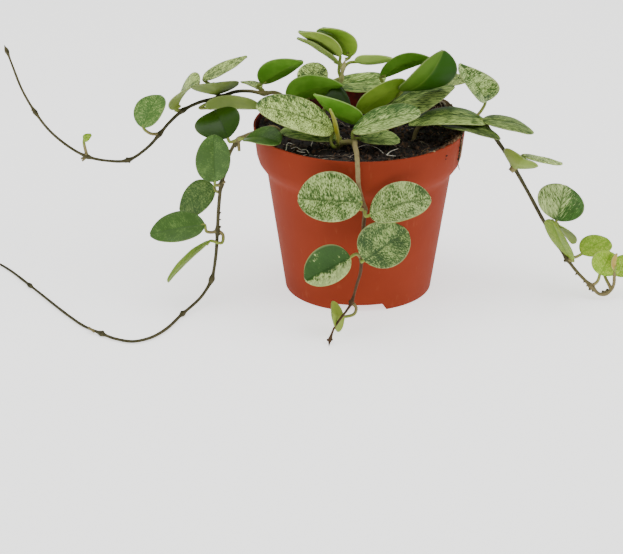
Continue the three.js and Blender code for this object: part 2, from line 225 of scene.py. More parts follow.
def rod(name: str, samples: list[tuple[Vector, float]], roundness: int) -> Piece:
    """Makes a rod of changing thickness along a route.

    Args:
        name: The rod's name.
        samples: Place and radius of each ring, in mm.
        roundness: Extra steps in each half of its section.

    Returns:
        The rod as a mesh.
    """
    piece = placed(bpy.ops.curve.primitive_nurbs_path_add)
    piece.name = name
    line = piece.data
    line.splines.clear()
    spline = line.splines.new("POLY")
    spline.points.add(len(samples) - 1)
    for point, (place, radius) in zip(spline.points, samples):
        point.co = (*(place * MM), 1)
        point.radius = radius
    line.dimensions = "3D"
    line.bevel_depth = MM
    line.bevel_resolution = roundness
    line.use_fill_caps = True
    bpy.ops.object.convert(target="MESH")
    bpy.ops.object.shade_smooth()
    return bpy.context.object


# Finishes


def colour(code: str) -> tuple[float, float, float, float]:
    """Turns an sRGB hex colour to linear RGBA.

    Args:
        code: The colour as six hex digits after a hash.

    Returns:
        Linear red, green, blue and an alpha of 1.
    """
    channels = [int(code[i : i + 2], 16) / 255 for i in (1, 3, 5)]
    linear = [c / 12.92 if c <= 0.04045 else ((c + 0.055) / 1.055) ** 2.4 for c in channels]
    return (*linear, 1.0)


def feed(material: Material, socket: Socket, value: Socket | float | tuple | str) -> None:
    """Gives an input a value or a hex colour, or links it from an output."""
    if isinstance(value, Socket):
        material.node_tree.links.new(value, socket)
    else:
        socket.default_value = colour(value) if isinstance(value, str) else value


def add(material: Material, kind: str, inputs: dict | None = None, **settings) -> bpy.types.Node:
    """Adds one node to a material with its settings and links.

    Args:
        material: The material that gets the node.
        kind: The node's type name.
        inputs: Socket name or number to a value, a hex colour, or the output that it is linked from.
        **settings: The node's own properties.

    Returns:
        The new node.
    """
    made = material.node_tree.nodes.new(kind)
    for name, value in settings.items():
        setattr(made, name, value)
    for socket, value in (inputs or {}).items():
        feed(material, made.inputs[socket], value)
    return made


class Recipe:
    """A material on its way: its shader, and a method for each step that the finishes share."""

    def __init__(self, name: str) -> None:
        """Starts a material of this name with a principled shader linked to its output."""
        self.material = bpy.data.materials.new(name)
        self.material.use_nodes = True
        self.material.node_tree.nodes.clear()
        self.shader = add(self.material, "ShaderNodeBsdfPrincipled")
        add(self.material, "ShaderNodeOutputMaterial", {"Surface": self.shader.outputs["BSDF"]})

    def read(self, kind: str, output: str | int, inputs: dict | None = None, **settings) -> Socket:
        """Adds a node and returns its output of that name or number."""
        return add(self.material, kind, inputs, **settings).outputs[output]

    def place(self) -> Socket:
        """Returns the place on the piece, in metres."""
        return self.read("ShaderNodeTexCoord", "Object")

    def veins(self) -> Socket:
        """Returns the place on a leaf, along its side veins and across them, in metres."""
        return self.read("ShaderNodeUVMap", "UV", uv_map="veins")

    def stored(self, name: str) -> Socket:
        """Returns the number that the piece stores at each vertex under a name."""
        return self.read("ShaderNodeAttribute", "Fac", attribute_name=name)

    def clouds(self, place: Socket, scale: float, detail: float = 3.0, crisp: float = 0.5) -> Socket:
        """Returns noise between 0 and 1.

        Args:
            place: Where it is read.
            scale: Clouds for each unit of place.
            detail: How many finer layers it has.
            crisp: How strong the finer layers are.

        Returns:
            The noise.
        """
        inputs = {"Vector": place, "Scale": scale, "Detail": detail, "Roughness": crisp}
        return self.read("ShaderNodeTexNoise", "Fac", inputs)

    def maths(self, kind: str, *values: Socket | float) -> Socket:
        """Returns what a calculation gives for numbers or outputs."""
        return self.read("ShaderNodeMath", 0, dict(enumerate(values)), operation=kind)

    def step(self, value: Socket, low: float, high: float) -> Socket:
        """Returns 0 below low and 1 over high, with a soft change between."""
        inputs = {"Value": value, "From Min": low, "From Max": high}
        return self.read("ShaderNodeMapRange", "Result", inputs, interpolation_type="SMOOTHSTEP")

    def span(self, value: Socket, low: float, high: float, start: float, end: float) -> Socket:
        """Returns start below low and end over high, with an even change between."""
        inputs = {"Value": value, "From Min": low, "From Max": high, "To Min": start, "To Max": end}
        return self.read("ShaderNodeMapRange", "Result", inputs)

    def blend(self, share: Socket | float, first: Socket | str, second: Socket | str) -> Socket:
        """Returns the first colour at a share of 0 and the second at 1."""
        return self.read("ShaderNodeMix", 2, {0: share, 6: first, 7: second}, data_type="RGBA")

    def ramp(self, level: Socket, stops: list[tuple[float, str]]) -> Socket:
        """Returns the colour at a level among stops, each a level and its hex colour."""
        made = add(self.material, "ShaderNodeValToRGB", {"Fac": level})
        elements = made.color_ramp.elements
        while len(elements) < len(stops):
            elements.new(0.5)
        for element, (position, code) in zip(list(elements), stops):
            element.position = position
            element.color = colour(code)
        return made.outputs["Color"]

    def dress(
        self,
        tint: Socket | str,
        roughness: Socket | float,
        level: float = 0.5,
        ior: float = 1.5,
        relief: Relief | None = None,
    ) -> Material:
        """Sets the shader.

        Args:
            tint: The base colour.
            roughness: From 0 for a mirror to 1 for chalk.
            level: Specular level.
            ior: Index of refraction.
            relief: The fine bumps.

        Returns:
            The finished material.
        """
        feed(self.material, self.shader.inputs["Base Color"], tint)
        feed(self.material, self.shader.inputs["Roughness"], roughness)
        self.shader.inputs["Specular IOR Level"].default_value = level
        self.shader.inputs["IOR"].default_value = ior
        if relief:
            height, strength, depth = relief
            bumps = {"Height": height, "Strength": strength, "Distance": depth * MM}
            feed(self.material, self.shader.inputs["Normal"], self.read("ShaderNodeBump", "Normal", bumps))
        return self.material


class LeafFinish:
    """What both faces of a hoya leaf share: wax, a pale margin, and each leaf's lightness, partly its own
    colour and partly painted light and shade for where it sits in the crown.
    """

    rim: float  # How strongly the margin shows.
    shine: float  # Specular level.
    margin_colour = "#b2b684"
    wax_ior = 1.42
    crisp = 0.6

    def coat(self, recipe: Recipe, tint: Socket, roughness: Socket | float, relief: Relief) -> Material:
        """Adds the margin and the leaf's lightness, partly painted light and shade, to the face's colour,
        and sets the shader.

        Args:
            recipe: The material on its way.
            tint: The face's colour.
            roughness: How dull the wax is.
            relief: The fine bumps.

        Returns:
            The finished material.
        """
        edge = recipe.maths("MULTIPLY", recipe.stored("margin"), self.rim)
        # The tone scales the colour: partly the leaf's own lightness, partly painted light and shade.
        scaled = {0: recipe.blend(edge, tint, self.margin_colour), "Scale": recipe.stored("tone")}
        toned = recipe.read("ShaderNodeVectorMath", "Vector", scaled, operation="SCALE")
        return recipe.dress(toned, roughness, self.shine, self.wax_ior, relief)


@dataclass(frozen=True)
class UpperFinish(LeafFinish):
    """The upper face of a hoya leaf: waxy cuticle over green tissue with air-filled silver flecks.

    The flecks lie in patches and run with the side veins, and small dark-green gaps stay between them.
    Silver skin scatters more than green skin, so it is a little duller.
    """

    green: str
    shade: str
    silver: str
    cover: float  # Share of the face that is silver.
    patch: float = 0.2  # How much the silver gathers in patches.
    dark: float = 0.7  # How strongly the dark gaps show.
    run: float = 2.6  # Length of a fleck over its width.
    slant: float = 62.0  # Angle of the side veins to the midrib, in degrees.
    gloss: float = 0.4
    fleck: float = 0.55  # Width of a fleck in mm. Real ones start at 0.3 mm, too fine to show.
    patch_size: float = 8.0
    rim: float = 0.4
    least: float = -1.0  # How far silver can be held back on the green side of a leaf that is half green.
    shine: float = 0.26  # Specular level: the wax's own, or less on the softer young leaves.
    blotch: float = 3.2  # Width of a blotch over a fleck's.
    blotchy: float = 0.28  # Share of the pattern that the blotches give. The flecks give the rest.
    silvering: tuple[float, float] = (0.42, 0.57)  # Levels of the pattern from green to silver.
    thin: float = 0.6  # How silver the thinnest silver skin is.
    thickening: tuple[float, float] = (0.36, 0.58)  # Levels of the blotches from thin to full silver.
    gap: float = 0.9  # Width of a dark gap over a fleck's.
    gap_level: float = 0.55  # Level where gaps open. It is lower where they show strongly.
    gap_edge: float = 0.07  # Softness of a gap's outline.
    duller: float = 0.12  # How much rougher silver is than green.

    def build(self, name: str) -> Material:
        """Makes the material."""
        recipe = Recipe(name)
        maths, blend, step = recipe.maths, recipe.blend, recipe.step
        veins = recipe.veins()
        patches = recipe.clouds(veins, 1 / (self.patch_size * MM), crisp=self.crisp)
        flecks = self.flecks(recipe, veins, self.fleck, 0.0)
        blotches = self.flecks(recipe, veins, self.blotch * self.fleck, 11.0)
        gaps = self.flecks(recipe, veins, self.gap * self.fleck, 29.0)
        gathered = maths("MULTIPLY_ADD", patches, self.patch, 0.5 * self.cover - 0.5 * self.patch)
        mixed = maths("MULTIPLY_ADD", flecks, 1 - self.blotchy, maths("MULTIPLY", blotches, self.blotchy))
        held = maths("MAXIMUM", recipe.stored("splash"), self.least)
        silvered = step(maths("ADD", mixed, maths("ADD", gathered, held)), *self.silvering)
        opened = maths("ADD", gaps, maths("MULTIPLY_ADD", patches, -0.3, 0.15))
        low = self.gap_level - self.gap_edge * self.dark
        gap = maths("MULTIPLY", step(opened, low, low + self.gap_edge), self.dark)
        ground = blend(patches, self.shade, self.green)
        thin = blend(self.thin, ground, self.silver)
        silver = blend(step(blotches, *self.thickening), thin, self.silver)
        gapped = blend(gap, blend(silvered, ground, silver), self.shade)
        broken_rib = maths("MULTIPLY", recipe.stored("rib"), step(flecks, 0.3, 0.6))
        ribbed = blend(broken_rib, gapped, self.shade)
        rough = maths("MULTIPLY_ADD", silvered, self.duller, self.gloss)
        return self.coat(recipe, ribbed, rough, (blotches, 0.35, 0.15))

    def flecks(self, recipe: Recipe, veins: Socket, width: float, shift: float) -> Socket:
        """Returns noise drawn out along the side veins.

        Args:
            recipe: The material on its way.
            veins: The place on the leaf.
            width: Width of a fleck in mm.
            shift: What sets one such noise apart from another.

        Returns:
            The noise, between 0 and 1.
        """
        scale = (1 / (width * self.run * MM), 1 / (width * MM), 1)
        inputs = {"Vector": veins, "Scale": scale, "Location": (shift, shift, 0)}
        return recipe.clouds(recipe.read("ShaderNodeMapping", "Vector", inputs), 1.0, crisp=self.crisp)


@dataclass(frozen=True)
class UnderFinish(LeafFinish):
    """The under side of a hoya leaf: smooth, matt green with a slightly raised pale midrib."""

    tone: str
    pale: str
    rib: str = "#7c9040"
    gloss: float = 0.6
    shine: float = 0.12
    rim: float = 0.3
    cloud: float = 14.0  # Width of its light and dark areas in mm.
    grain: float = 1.2  # Width of its fine bumps in mm.

    def build(self, name: str) -> Material:
        """Makes the material."""
        recipe = Recipe(name)
        veins = recipe.veins()
        clouds = recipe.clouds(veins, 1 / (self.cloud * MM), crisp=self.crisp)
        # The splash moves the face towards the pale tone; on the shaded under side it leaves one half dark
        # as painted shade.
        soft = recipe.step(recipe.maths("ADD", clouds, recipe.stored("splash")), 0.3, 0.7)
        rib = recipe.maths("MULTIPLY", recipe.stored("rib"), 0.18)
        ribbed = recipe.blend(rib, recipe.blend(soft, self.tone, self.pale), self.rib)
        grain = recipe.clouds(veins, 1 / (self.grain * MM), crisp=self.crisp)
        return self.coat(recipe, ribbed, self.gloss, (grain, 0.2, 0.1))


class Upper(Enum):
    """The upper faces that the plant has."""

    SILVER = UpperFinish("#59792f", "#243f0e", "#cae282", cover=0.06, patch=0.24, dark=0.85)
    BRUSHED = UpperFinish(
        "#587d3c", "#294915", "#bdd57f", cover=0.05, patch=0.1, dark=0.9, run=7.0, slant=20.0, fleck=0.48
    )
    VEINED = UpperFinish(
        "#4d7c2e", "#29490f", "#c0d486", cover=0.04, patch=0.1, dark=0.9, run=8.0, slant=32.0, fleck=0.42
    )
    BANDED = UpperFinish(
        "#355c1c", "#1f3f0c", "#b9cd80", cover=-0.28, patch=0.6, dark=0.4, fleck=0.8, least=-0.05
    )
    FROSTED = UpperFinish(
        "#52763a", "#294510", "#b1c77a", cover=0.05, patch=0.34, dark=0.9, run=3.0, slant=70.0, rim=0.5
    )
    MOTTLED = UpperFinish(
        "#486d2e", "#254211", "#a3bb6b", cover=-0.04, patch=0.36, dark=0.9, run=2.4, rim=0.5
    )
    STREAKED = UpperFinish(
        "#4e7127", "#223d0b", "#a6bd68", cover=0.0, patch=0.15, dark=0.9, run=11.0, slant=8.0, fleck=0.42
    )
    FLECKED = UpperFinish("#496e2d", "#3a5c20", "#87a257", cover=-0.08, rim=0.2)
    GREEN = UpperFinish(
        "#4a6d2b", "#3a5c20", "#648740", cover=-0.14, patch=0.5, dark=0.2, gloss=0.36, rim=0.12
    )
    DARK = UpperFinish("#375912", "#233f0a", "#8fa565", cover=-0.42, dark=0.1, gloss=0.3, rim=0.12)
    BUD = UpperFinish("#b8ad5c", "#8a6a35", "#d3c884", cover=0.1, dark=0.2, shine=0.12)
    LIME = UpperFinish(
        "#80ab26", "#668a20", "#a8c24a", cover=-0.04, dark=0.2, run=1.6, gloss=0.5, shine=0.12
    )


class Under(Enum):
    """The under sides that the plant has."""

    FRESH = UnderFinish("#548722", "#6c9c34")
    # Painted shade: a very dark green for under sides that lie in shadow; a sweep makes one half paler.
    DEEP = UnderFinish("#234a04", "#4d6e20", cloud=40.0)
    YOUNG = UnderFinish("#a09a2e", "#b0b052")
    OLIVE = UnderFinish("#5f8024", "#73902f")
    YELLOW = UnderFinish("#647a2c", "#788c3c")
    SOFT = UnderFinish("#9ab858", "#a6c264")
    LIME = UnderFinish("#8fa83c", "#a0b64c")
    BUD = UnderFinish("#b8ad5c", "#a5803f")


@dataclass(frozen=True)
class StemFinish:
    """The skin of the stems: smooth, cream then green when young, corky beige to dark brown when old."""

    cream: str = "#cfc38c"
    young: str = "#7c9138"
    tan: str = "#867a53"
    brown: str = "#5b5538"
    old: str = "#2e2d18"
    speck: float = 2.2  # Spacing of its cork specks in mm.

    def build(self, name: str) -> Material:
        """Makes the material."""
        recipe = Recipe(name)
        specks = recipe.clouds(recipe.place(), 1 / (self.speck * MM))
        uneven = recipe.maths("MULTIPLY_ADD", specks, 0.5, 0.25)
        age = recipe.maths("DIVIDE", recipe.maths("ADD", recipe.stored("bark"), uneven), 1.5)
        stops = [(0.07, self.cream), (0.4, self.young), (0.6, self.tan), (0.8, self.brown), (1.0, self.old)]
        return recipe.dress(recipe.ramp(age, stops), 0.65, level=0.15, relief=(specks, 0.25, 0.15))


class Bark(Enum):
    """The skins that the stems have."""

    CORKY = StemFinish()
    RUDDY = StemFinish(brown="#5a432c", old="#3a2a1a")


@dataclass(frozen=True)
class PotFinish:
    """Injection-moulded polypropylene, terracotta red: satin, a little mottled, with faint scuffs."""

    red: str = "#8b351e"
    deep: str = "#7a2c18"
    dust: str = "#b0694a"
    mottle: float = 26.0  # Width of its light and dark areas in mm.
    scuff: float = 3.0  # Width of a scuff in mm.
    drawn: float = 4.0  # Height of a scuff over its width.
    ior: float = 1.49

    def build(self) -> Material:
        """Makes the material."""
        recipe = Recipe("moulded_polypropylene")
        place = recipe.place()
        body = recipe.blend(recipe.clouds(place, 1 / (self.mottle * MM)), self.deep, self.red)
        drawn = {"Vector": place, "Scale": (1, 1, 1 / self.drawn)}
        laid = recipe.read("ShaderNodeMapping", "Vector", drawn)
        scuffs = recipe.clouds(laid, 1 / (self.scuff * MM), detail=6.0)
        dusted = recipe.blend(recipe.span(scuffs, 0.62, 0.8, 0, 0.22), body, self.dust)
        rough = recipe.span(scuffs, 0, 1, 0.6, 0.72)
        return recipe.dress(dusted, rough, level=0.07, ior=self.ior, relief=(scuffs, 0.08, 0.2))


@dataclass(frozen=True)
class InsideShadeFinish:
    """The pot's plastic inside, darkened as painted shade: a dark red with near-black patches of painted
    shadow, where the rim and the leaves shade it.
    """

    # Painted shade: the near-black of the shadow patches, and the red darkened.
    inside_shade: str = "#2c0a06"
    red: str = "#571408"
    shade_patch: float = 7.0  # Width of a patch of painted shadow in mm.

    def build(self) -> Material:
        """Makes the material."""
        recipe = Recipe("shaded_inside_polypropylene")
        # Noise patches of painted shadow over the darkened red.
        shade_patches = recipe.clouds(recipe.place(), 1 / (self.shade_patch * MM), crisp=0.6)
        tint = recipe.blend(recipe.step(shade_patches, 0.35, 0.7), self.inside_shade, self.red)
        return recipe.dress(tint, 0.5, level=0.2)


@dataclass(frozen=True)
class SoilFinish:
    """Damp peat: near-black, with brown fibres and a few pale grains. The crumbs are modelled."""

    black: str = "#120c07"
    brown: str = "#6b4a2b"
    pale: str = "#8f7b57"
    grain: float = 1.6  # Width of a grain in mm.

    def build(self) -> Material:
        """Makes the material."""
        recipe = Recipe("damp_peat")
        grain = recipe.clouds(recipe.place(), 1 / (self.grain * MM), detail=5.0)
        level = recipe.maths("MULTIPLY_ADD", grain, 0.6, recipe.stored("crumb"))
        tint = recipe.ramp(level, [(0.3, self.black), (0.75, self.brown), (1.0, self.pale)])
        return recipe.dress(tint, 0.85, relief=(grain, 0.8, 0.6))


@dataclass(frozen=True)
class RootFinish:
    """Dry fine roots, cream to straw-brown."""

    cream: str = "#f3ebda"
    straw: str = "#6d5636"
    patch: float = 5.0  # Width of its light and dark areas in mm.

    def build(self) -> Material:
        """Makes the material."""
        recipe = Recipe("dry_root")
        patches = recipe.clouds(recipe.place(), 1 / (self.patch * MM), detail=2.0)
        level = recipe.maths("MULTIPLY_ADD", patches, 0.4, recipe.stored("bark"))
        return recipe.dress(recipe.blend(level, self.cream, self.straw), 0.7)


# The pot and the soil


def around(reach: float, turn: float, height: float) -> Vector:
    """Returns the place at this distance and direction from the pot's axis."""
    return Vector((reach * math.cos(turn), reach * math.sin(turn), height))


@dataclass
class Pot:
    """The moulded pot: tapered body, shoulder, flared collar, foot ring with notches, drained floor."""

    rim_radius: float
    height: float
    wall: float = 1.2
    foot_radius: float = 42.0
    foot_width: float = 1.8
    floor_rise: float = 4.2
    pad_radius: float = 17.0
    pad_slope: float = 4.0
    body_top: tuple[float, float] = (52.1, 69.0)
    collar: tuple = ((52.8, 71.5), (54.8, 74.0), (56.9, 77.0), (58.1, 81.0))
    notch: Triple = (26.0, 4.0, 3.0)  # Width at its top, height, flare.
    notch_reach: tuple[float, float] = (31.0, 47.0)  # From the axis, to either side of the foot ring.
    notch_turns: tuple[float, ...] = (-90, 30, 150)
    drain: tuple[float, float, int] = (3.5, 30.0, 6)  # Radius, ring radius, count.
    edge: float = 0.32  # Rounding of its edges.
    steps: int = 144

    def outside(self) -> list[tuple[float, float]]:
        """Returns radius and height up the outside, from the foot to the rim."""
        top_radius, top = self.body_top
        foot = self.foot_radius + (top_radius - self.foot_radius) * self.floor_rise / top
        return [(foot, self.floor_rise), self.body_top, *self.collar, (self.rim_radius, self.height)]

    def profile(self) -> list[tuple[float, float]]:
        """Returns radius and height of every ring, from the pad's under side round to its top."""
        floor_top = self.floor_rise + self.wall
        inner_foot = self.foot_radius - self.foot_width
        return [
            (self.pad_radius, 0),
            (self.pad_radius + self.pad_slope, self.floor_rise),
            (inner_foot, self.floor_rise),
            (inner_foot, 0),
            (self.foot_radius, 0),
            *self.outside(),
            *[(radius - self.wall, z) for radius, z in self.outside()[:0:-1]],
            (self.foot_radius - self.wall, floor_top),
            (self.pad_radius + self.pad_slope - self.wall / 2, floor_top),
            (self.pad_radius - self.wall / 2, self.wall),
        ]

    def build(self) -> None:
        """Makes the pot."""
        body = turned("pot_shell", self.profile(), self.steps)
        for turn in self.notch_turns:
            cut(body, self.notch_cutter(math.radians(turn)))
        count = self.drain[2]
        for k in range(count):
            cut(body, self.drain_cutter(2 * math.pi * (k + 0.5) / count))
        sharp, crease = math.radians(24), math.radians(38)
        modify(body, "BEVEL", width=self.edge * MM, segments=3, limit_method="ANGLE", angle_limit=sharp)
        select(body)
        bpy.ops.object.shade_smooth_by_angle(angle=crease)
        # The second material paints shade on the inside of the wall.
        clad(body, PotFinish().build(), InsideShadeFinish().build())
        self.inside_shade(body)
        finished(body, "pot_plastic", "pot")

    def inside_shade(self, body: Piece) -> None:
        """Gives the wall's inner faces the second material, the one with painted shade."""
        for face in body.data.polygons:
            reach = face.center.xy.length
            inward = face.normal.xy.dot(face.center.xy) < -0.2 * reach
            in_wall = face.center.z > self.floor_rise * MM and reach > 0.5 * self.foot_radius * MM
            if inward and in_wall:
                face.material_index = 1

    def notch_cutter(self, turn: float) -> Piece:
        """Makes what the notch at this angle takes out of the foot ring."""
        width, height, flare = self.notch
        near, far = self.notch_reach
        cutter = placed(bpy.ops.mesh.primitive_cube_add, size=1)
        for vertex in cutter.data.vertices:
            low = vertex.co.z < 0
            vertex.co.x = (near if vertex.co.x < 0 else far) * MM
            vertex.co.y *= (width + (2 * flare if low else 0)) * MM
            vertex.co.z = (-1 if low else height) * MM
        cutter.data.transform(Matrix.Rotation(turn, 4, "Z"))
        return cutter

    def drain_cutter(self, turn: float) -> Piece:
        """Makes what the drain hole at this angle takes out of the floor."""
        radius, ring, _ = self.drain
        middle = (self.floor_rise + self.wall / 2) * MM
        place = (ring * math.cos(turn) * MM, ring * math.sin(turn) * MM, middle)
        drill = {"vertices": 24, "radius": radius * MM, "depth": 5 * self.wall * MM, "location": place}
        return placed(bpy.ops.mesh.primitive_cylinder_add, **drill)


@dataclass
class Soil:
    """The peat that fills the pot, its crumbs, and the roots that lie on it."""

    level: float = 88.5
    slope: float = 0.05
    radius: float = 57.4
    side: tuple = ((20, 5.9), (40.2, 5.9), (50.3, 69), (51.1, 71.5), (53.1, 74), (55.2, 77))
    side_top: float = 80.0  # What lies higher is the soil's top.
    mounds: tuple = ((48.0, 21.0, 11.0, 7.5), (-53.0, 11.0, 8.0, 9.0))  # x, y, rise, spread.
    waves: float = 0.7
    lumps: tuple = ((2.6, 0.0, 1.1), (6.0, 9.0, 0.8))  # Width, where each is read, and height.
    rim: float = 97.3
    collar: tuple[float, float, float, float] = (58.2, 81.0, 60.1, 97.0)  # Radius, height at its ends.
    crumbs: int = 2300
    heaped: int = 260  # Crumbs heaped on the rim at the right.
    piled: int = 170  # Crumbs piled under the root tangle at the back right.
    smeared: int = 70  # Crumbs stuck to the collar below them.
    spilled: int = 6  # The first of those, which lie apart from the rest.
    heap_turn: tuple[float, float] = (-20, 10)  # Direction from +X and its spread, in degrees.
    pile_turn: tuple[float, float] = (27, 5.5)
    smear_turn: tuple[float, float] = (-19.5, 1.1)
    spill_turn: tuple[float, float] = (-37, 0.6)
    heap_reach: tuple[float, float] = (57.4, 1.6)  # Distance from the axis and its spread.
    pile_reach: tuple[float, float] = (57.2, 1.3)
    bed_end: float = 56.8  # No crumb on the bed lies further out.
    heap_end: float = 59.3
    ledge: float = 58.0  # Heaped crumbs further out lie on the rim.
    pile_ridge: tuple[float, float] = (57.5, 2.0)  # Where the pile is highest, and its width.
    heap_rise: tuple[float, float] = (92.5, 3.5)  # Least height, and how much a crumb may lie over it.
    pile_rise: tuple[float, float] = (97.0, 3.2)
    smear_height: tuple[float, float] = (83, 97)
    spill_height: tuple[float, float] = (89.5, 92)
    bed_size: tuple[float, float] = (0.38, 1.2)  # Least radius, and how much may be added to it.
    heap_size: tuple[float, float] = (0.4, 0.9)  # Least and greatest radius.
    pile_size: tuple[float, float] = (0.6, 1.2)
    smear_size: tuple[float, float] = (0.3, 0.7)
    spill_size: float = 0.35
    dried: float = 0.25  # How much browner the crumbs at the bed's right edge are.
    heap_dried: float = 0.22
    fibres: int = 110
    fibre_radius: tuple[float, float] = (0.12, 0.26)
    fibre_tint: tuple[float, float] = (0.35, 1.0)  # From cream at 0 to straw at 1.
    fibre_step: float = 3.0
    fibre_bend: float = 0.9  # The most that it turns at a step, in radians.
    clump_fibres: int = 16
    clump_arch: float = 2.2
    tangle: int = 11
    tangle_turn: tuple[float, float] = (36, 46)  # Where its strands start, in degrees.
    tangle_reach: tuple[float, float] = (54, 59)
    tangle_arch: tuple[float, float] = (98.4, 2.8)  # Height of a strand's ends, and how far it arches.
    tangle_end: tuple[float, float] = (92, 98)
    tangle_radius: tuple[float, float] = (0.3, 0.6)
    tangle_tints: tuple[float, ...] = (0.5, 1.1, 1.6, 1.8)
    ring_step: float = 1.9
    steps: int = 110

    def top(self, x: float, y: float) -> float:
        """Returns the height of the soil's general surface."""
        mounds = 0.0
        for mound_x, mound_y, rise, spread in self.mounds:
            away = math.hypot(x - mound_x, y - mound_y) / spread
            mounds += rise * math.exp(-away * away / 2)
        waves = math.sin(x / 3 + 1) * math.cos(y / 4) + math.sin(y / 2 + x / 5)
        return self.level - self.slope * y + mounds + self.waves * waves

    def build(self) -> None:
        """Makes the bed, the crumbs, the fibres and the roots."""
        peat = SoilFinish().build()
        root = RootFinish().build()
        self.bed(peat)
        self.scatter(peat)
        self.roots(root)

    def bed(self, peat: Material) -> None:
        """Makes the body of soil with its crumbled top."""
        rings = int(self.radius / self.ring_step)
        top = [(self.radius * (1 - k / rings), self.level) for k in range(rings)]
        body = turned("soil_bed", [*self.side, *top], self.steps)
        for vertex in body.data.vertices:
            if vertex.co.z > self.side_top * MM:
                x, y = vertex.co.x / MM, vertex.co.y / MM
                crumbled = sum(high * noise.noise(Vector((x, y, z)) / wide) for wide, z, high in self.lumps)
                vertex.co.z = (self.top(x, y) + crumbled) * MM
        smooth(body)
        paint(body, "crumb", 0.0)
        clad(body, peat)
        finished(body, "potting_soil", "soil")

    def scatter(self, peat: Material) -> None:
        """Strews crumbs over the bed, the rim and the collar: one lump, copied at many sizes and turns."""
        draw = random.Random(SEED)
        lump = placed(bpy.ops.mesh.primitive_ico_sphere_add, subdivisions=1, radius=MM)
        clad(lump, peat)
        crumbs = [self.crumb(lump, draw, *spot) for spot in self.strewn(draw)]
        bpy.data.objects.remove(lump)
        finished(joined("soil_crumbs", crumbs), "potting_soil")

    def strewn(self, draw: random.Random) -> Iterator[tuple[Vector, float, float]]:
        """Finds the place of each crumb.

        Args:
            draw: The source of its place and size.

        Yields:
            The crumb's middle and radius in mm, and how much browner it is than wet peat.
        """
        least, more = self.bed_size
        for _ in range(self.crumbs):
            reach = self.bed_end * math.sqrt(draw.random())
            turn = 2 * math.pi * draw.random()
            x, y = reach * math.cos(turn), reach * math.sin(turn)
            size = least + more * draw.random() ** 3
            dry = max(0.0, self.dried * x / self.radius) * (reach / self.radius) ** 4
            yield Vector((x, y, self.top(x, y) + 0.5 * size)), size, dry
        for _ in range(self.heaped):
            turn = math.radians(draw.gauss(*self.heap_turn))
            reach = min(self.heap_end, draw.gauss(*self.heap_reach))
            least, more = self.heap_rise
            height = self.rim if reach > self.ledge else least + more * draw.random()
            yield around(reach, turn, height), draw.uniform(*self.heap_size), self.heap_dried
        for _ in range(self.piled):
            turn = math.radians(draw.gauss(*self.pile_turn))
            reach = draw.gauss(*self.pile_reach)
            (least, more), (ridge, width) = self.pile_rise, self.pile_ridge
            height = least + more * draw.random() * math.exp(-(((reach - ridge) / width) ** 2))
            yield around(reach, turn, height), draw.uniform(*self.pile_size), 0.0
        low_radius, low, high_radius, high = self.collar
        for k in range(self.smeared):
            apart = k < self.spilled
            turn = math.radians(draw.gauss(*(self.spill_turn if apart else self.smear_turn)))
            height = draw.uniform(*(self.spill_height if apart else self.smear_height))
            reach = low_radius + (high_radius - low_radius) * (height - low) / (high - low)
            size = self.spill_size if apart else draw.uniform(*self.smear_size)
            yield around(reach, turn, height), size, 0.0

    @staticmethod
    def crumb(lump: Piece, draw: random.Random, place: Vector, size: float, dry: float) -> Piece:
        """Copies the lump as one crumb of its own form, turned at random.

        Args:
            lump: The lump that is copied.
            draw: The source of its form and turn.
            place: Its middle, in mm.
            size: Its radius, in mm.
            dry: How much browner it is than wet peat.

        Returns:
            The crumb.
        """
        crumb = lump.copy()
        crumb.data = lump.data.copy()
        for vertex in crumb.data.vertices:
            vertex.co *= draw.uniform(0.6, 1.25)
        turned_over = Matrix.Rotation(draw.uniform(0, 6), 4, (draw.random(), draw.random(), 0.3))
        flat = Matrix.Diagonal((size * draw.uniform(0.8, 1.8), size, size * draw.uniform(0.5, 1), 1))
        crumb.data.transform(Matrix.Translation(place * MM) @ turned_over @ flat)
        paint(crumb, "crumb", dry + 0.35 * draw.random() ** 4 / max(size, 0.5))
        bpy.context.scene.collection.objects.link(crumb)
        return crumb

    def roots(self, root: Material) -> None:
        """Lays the pale roots seen on the soil, the root clump at the right and loose fibres."""
        draw = random.Random(SEED + 1)
        strands = []
        for route in SURFACE_ROOTS:
            points = [(x, y, self.top(x, y) + 1.1 + lift) for x, y, lift in route]
            strands.append(self.strand(points, 0.32, -0.3))
        for _ in range(self.fibres):
            reach = self.radius * math.sqrt(draw.random()) * 0.95
            strands.append(self.loose(draw, reach, 2 * math.pi * draw.random(), 0.0))
        clump_x, clump_y, _, spread = self.mounds[0]
        for _ in range(self.clump_fibres):
            x = clump_x + draw.gauss(0, 0.55) * spread
            y = clump_y + draw.gauss(0, 0.55) * spread
            if math.hypot(x, y) < self.radius - 3:
                strands.append(self.loose(draw, math.hypot(x, y), math.atan2(y, x), self.clump_arch))
        strands += [self.over_rim(draw) for _ in range(self.tangle)]
        strands.append(self.strand(COLLAR_ROOT, 0.5, 1.2))
        whole = joined("soil_roots", strands)
        clad(whole, root)
        finished(whole, "potting_soil")

    @staticmethod
    def strand(points: list[Triple], radius: float, tint: float) -> Piece:
        """Makes one thin root through points, coloured from cream at 0 to straw at 1."""
        route = smooth_route(points, 1.5)
        end = len(route) - 1
        piece = rod("root", [(p, radius * (1 - 0.5 * i / end)) for i, p in enumerate(route)], 0)
        paint(piece, "bark", tint)
        return piece

    def over_rim(self, draw: random.Random) -> Piece:
        """Makes one strand of the root tangle that lies along the rim at the back right."""
        points = []
        start, reach = draw.uniform(*self.tangle_turn), draw.uniform(*self.tangle_reach)
        low, arch = self.tangle_arch
        for k in range(5):
            height = low + arch * math.sin(math.pi * (k + 0.5) / 5) * draw.uniform(0.6, 1.1)
            points.append(around(reach, math.radians(start - 5.5 * k), height))
            reach += draw.uniform(-1.2, 1.4)
        points[-1].z = draw.uniform(*self.tangle_end)
        return self.strand(points, draw.uniform(*self.tangle_radius), draw.choice(self.tangle_tints))

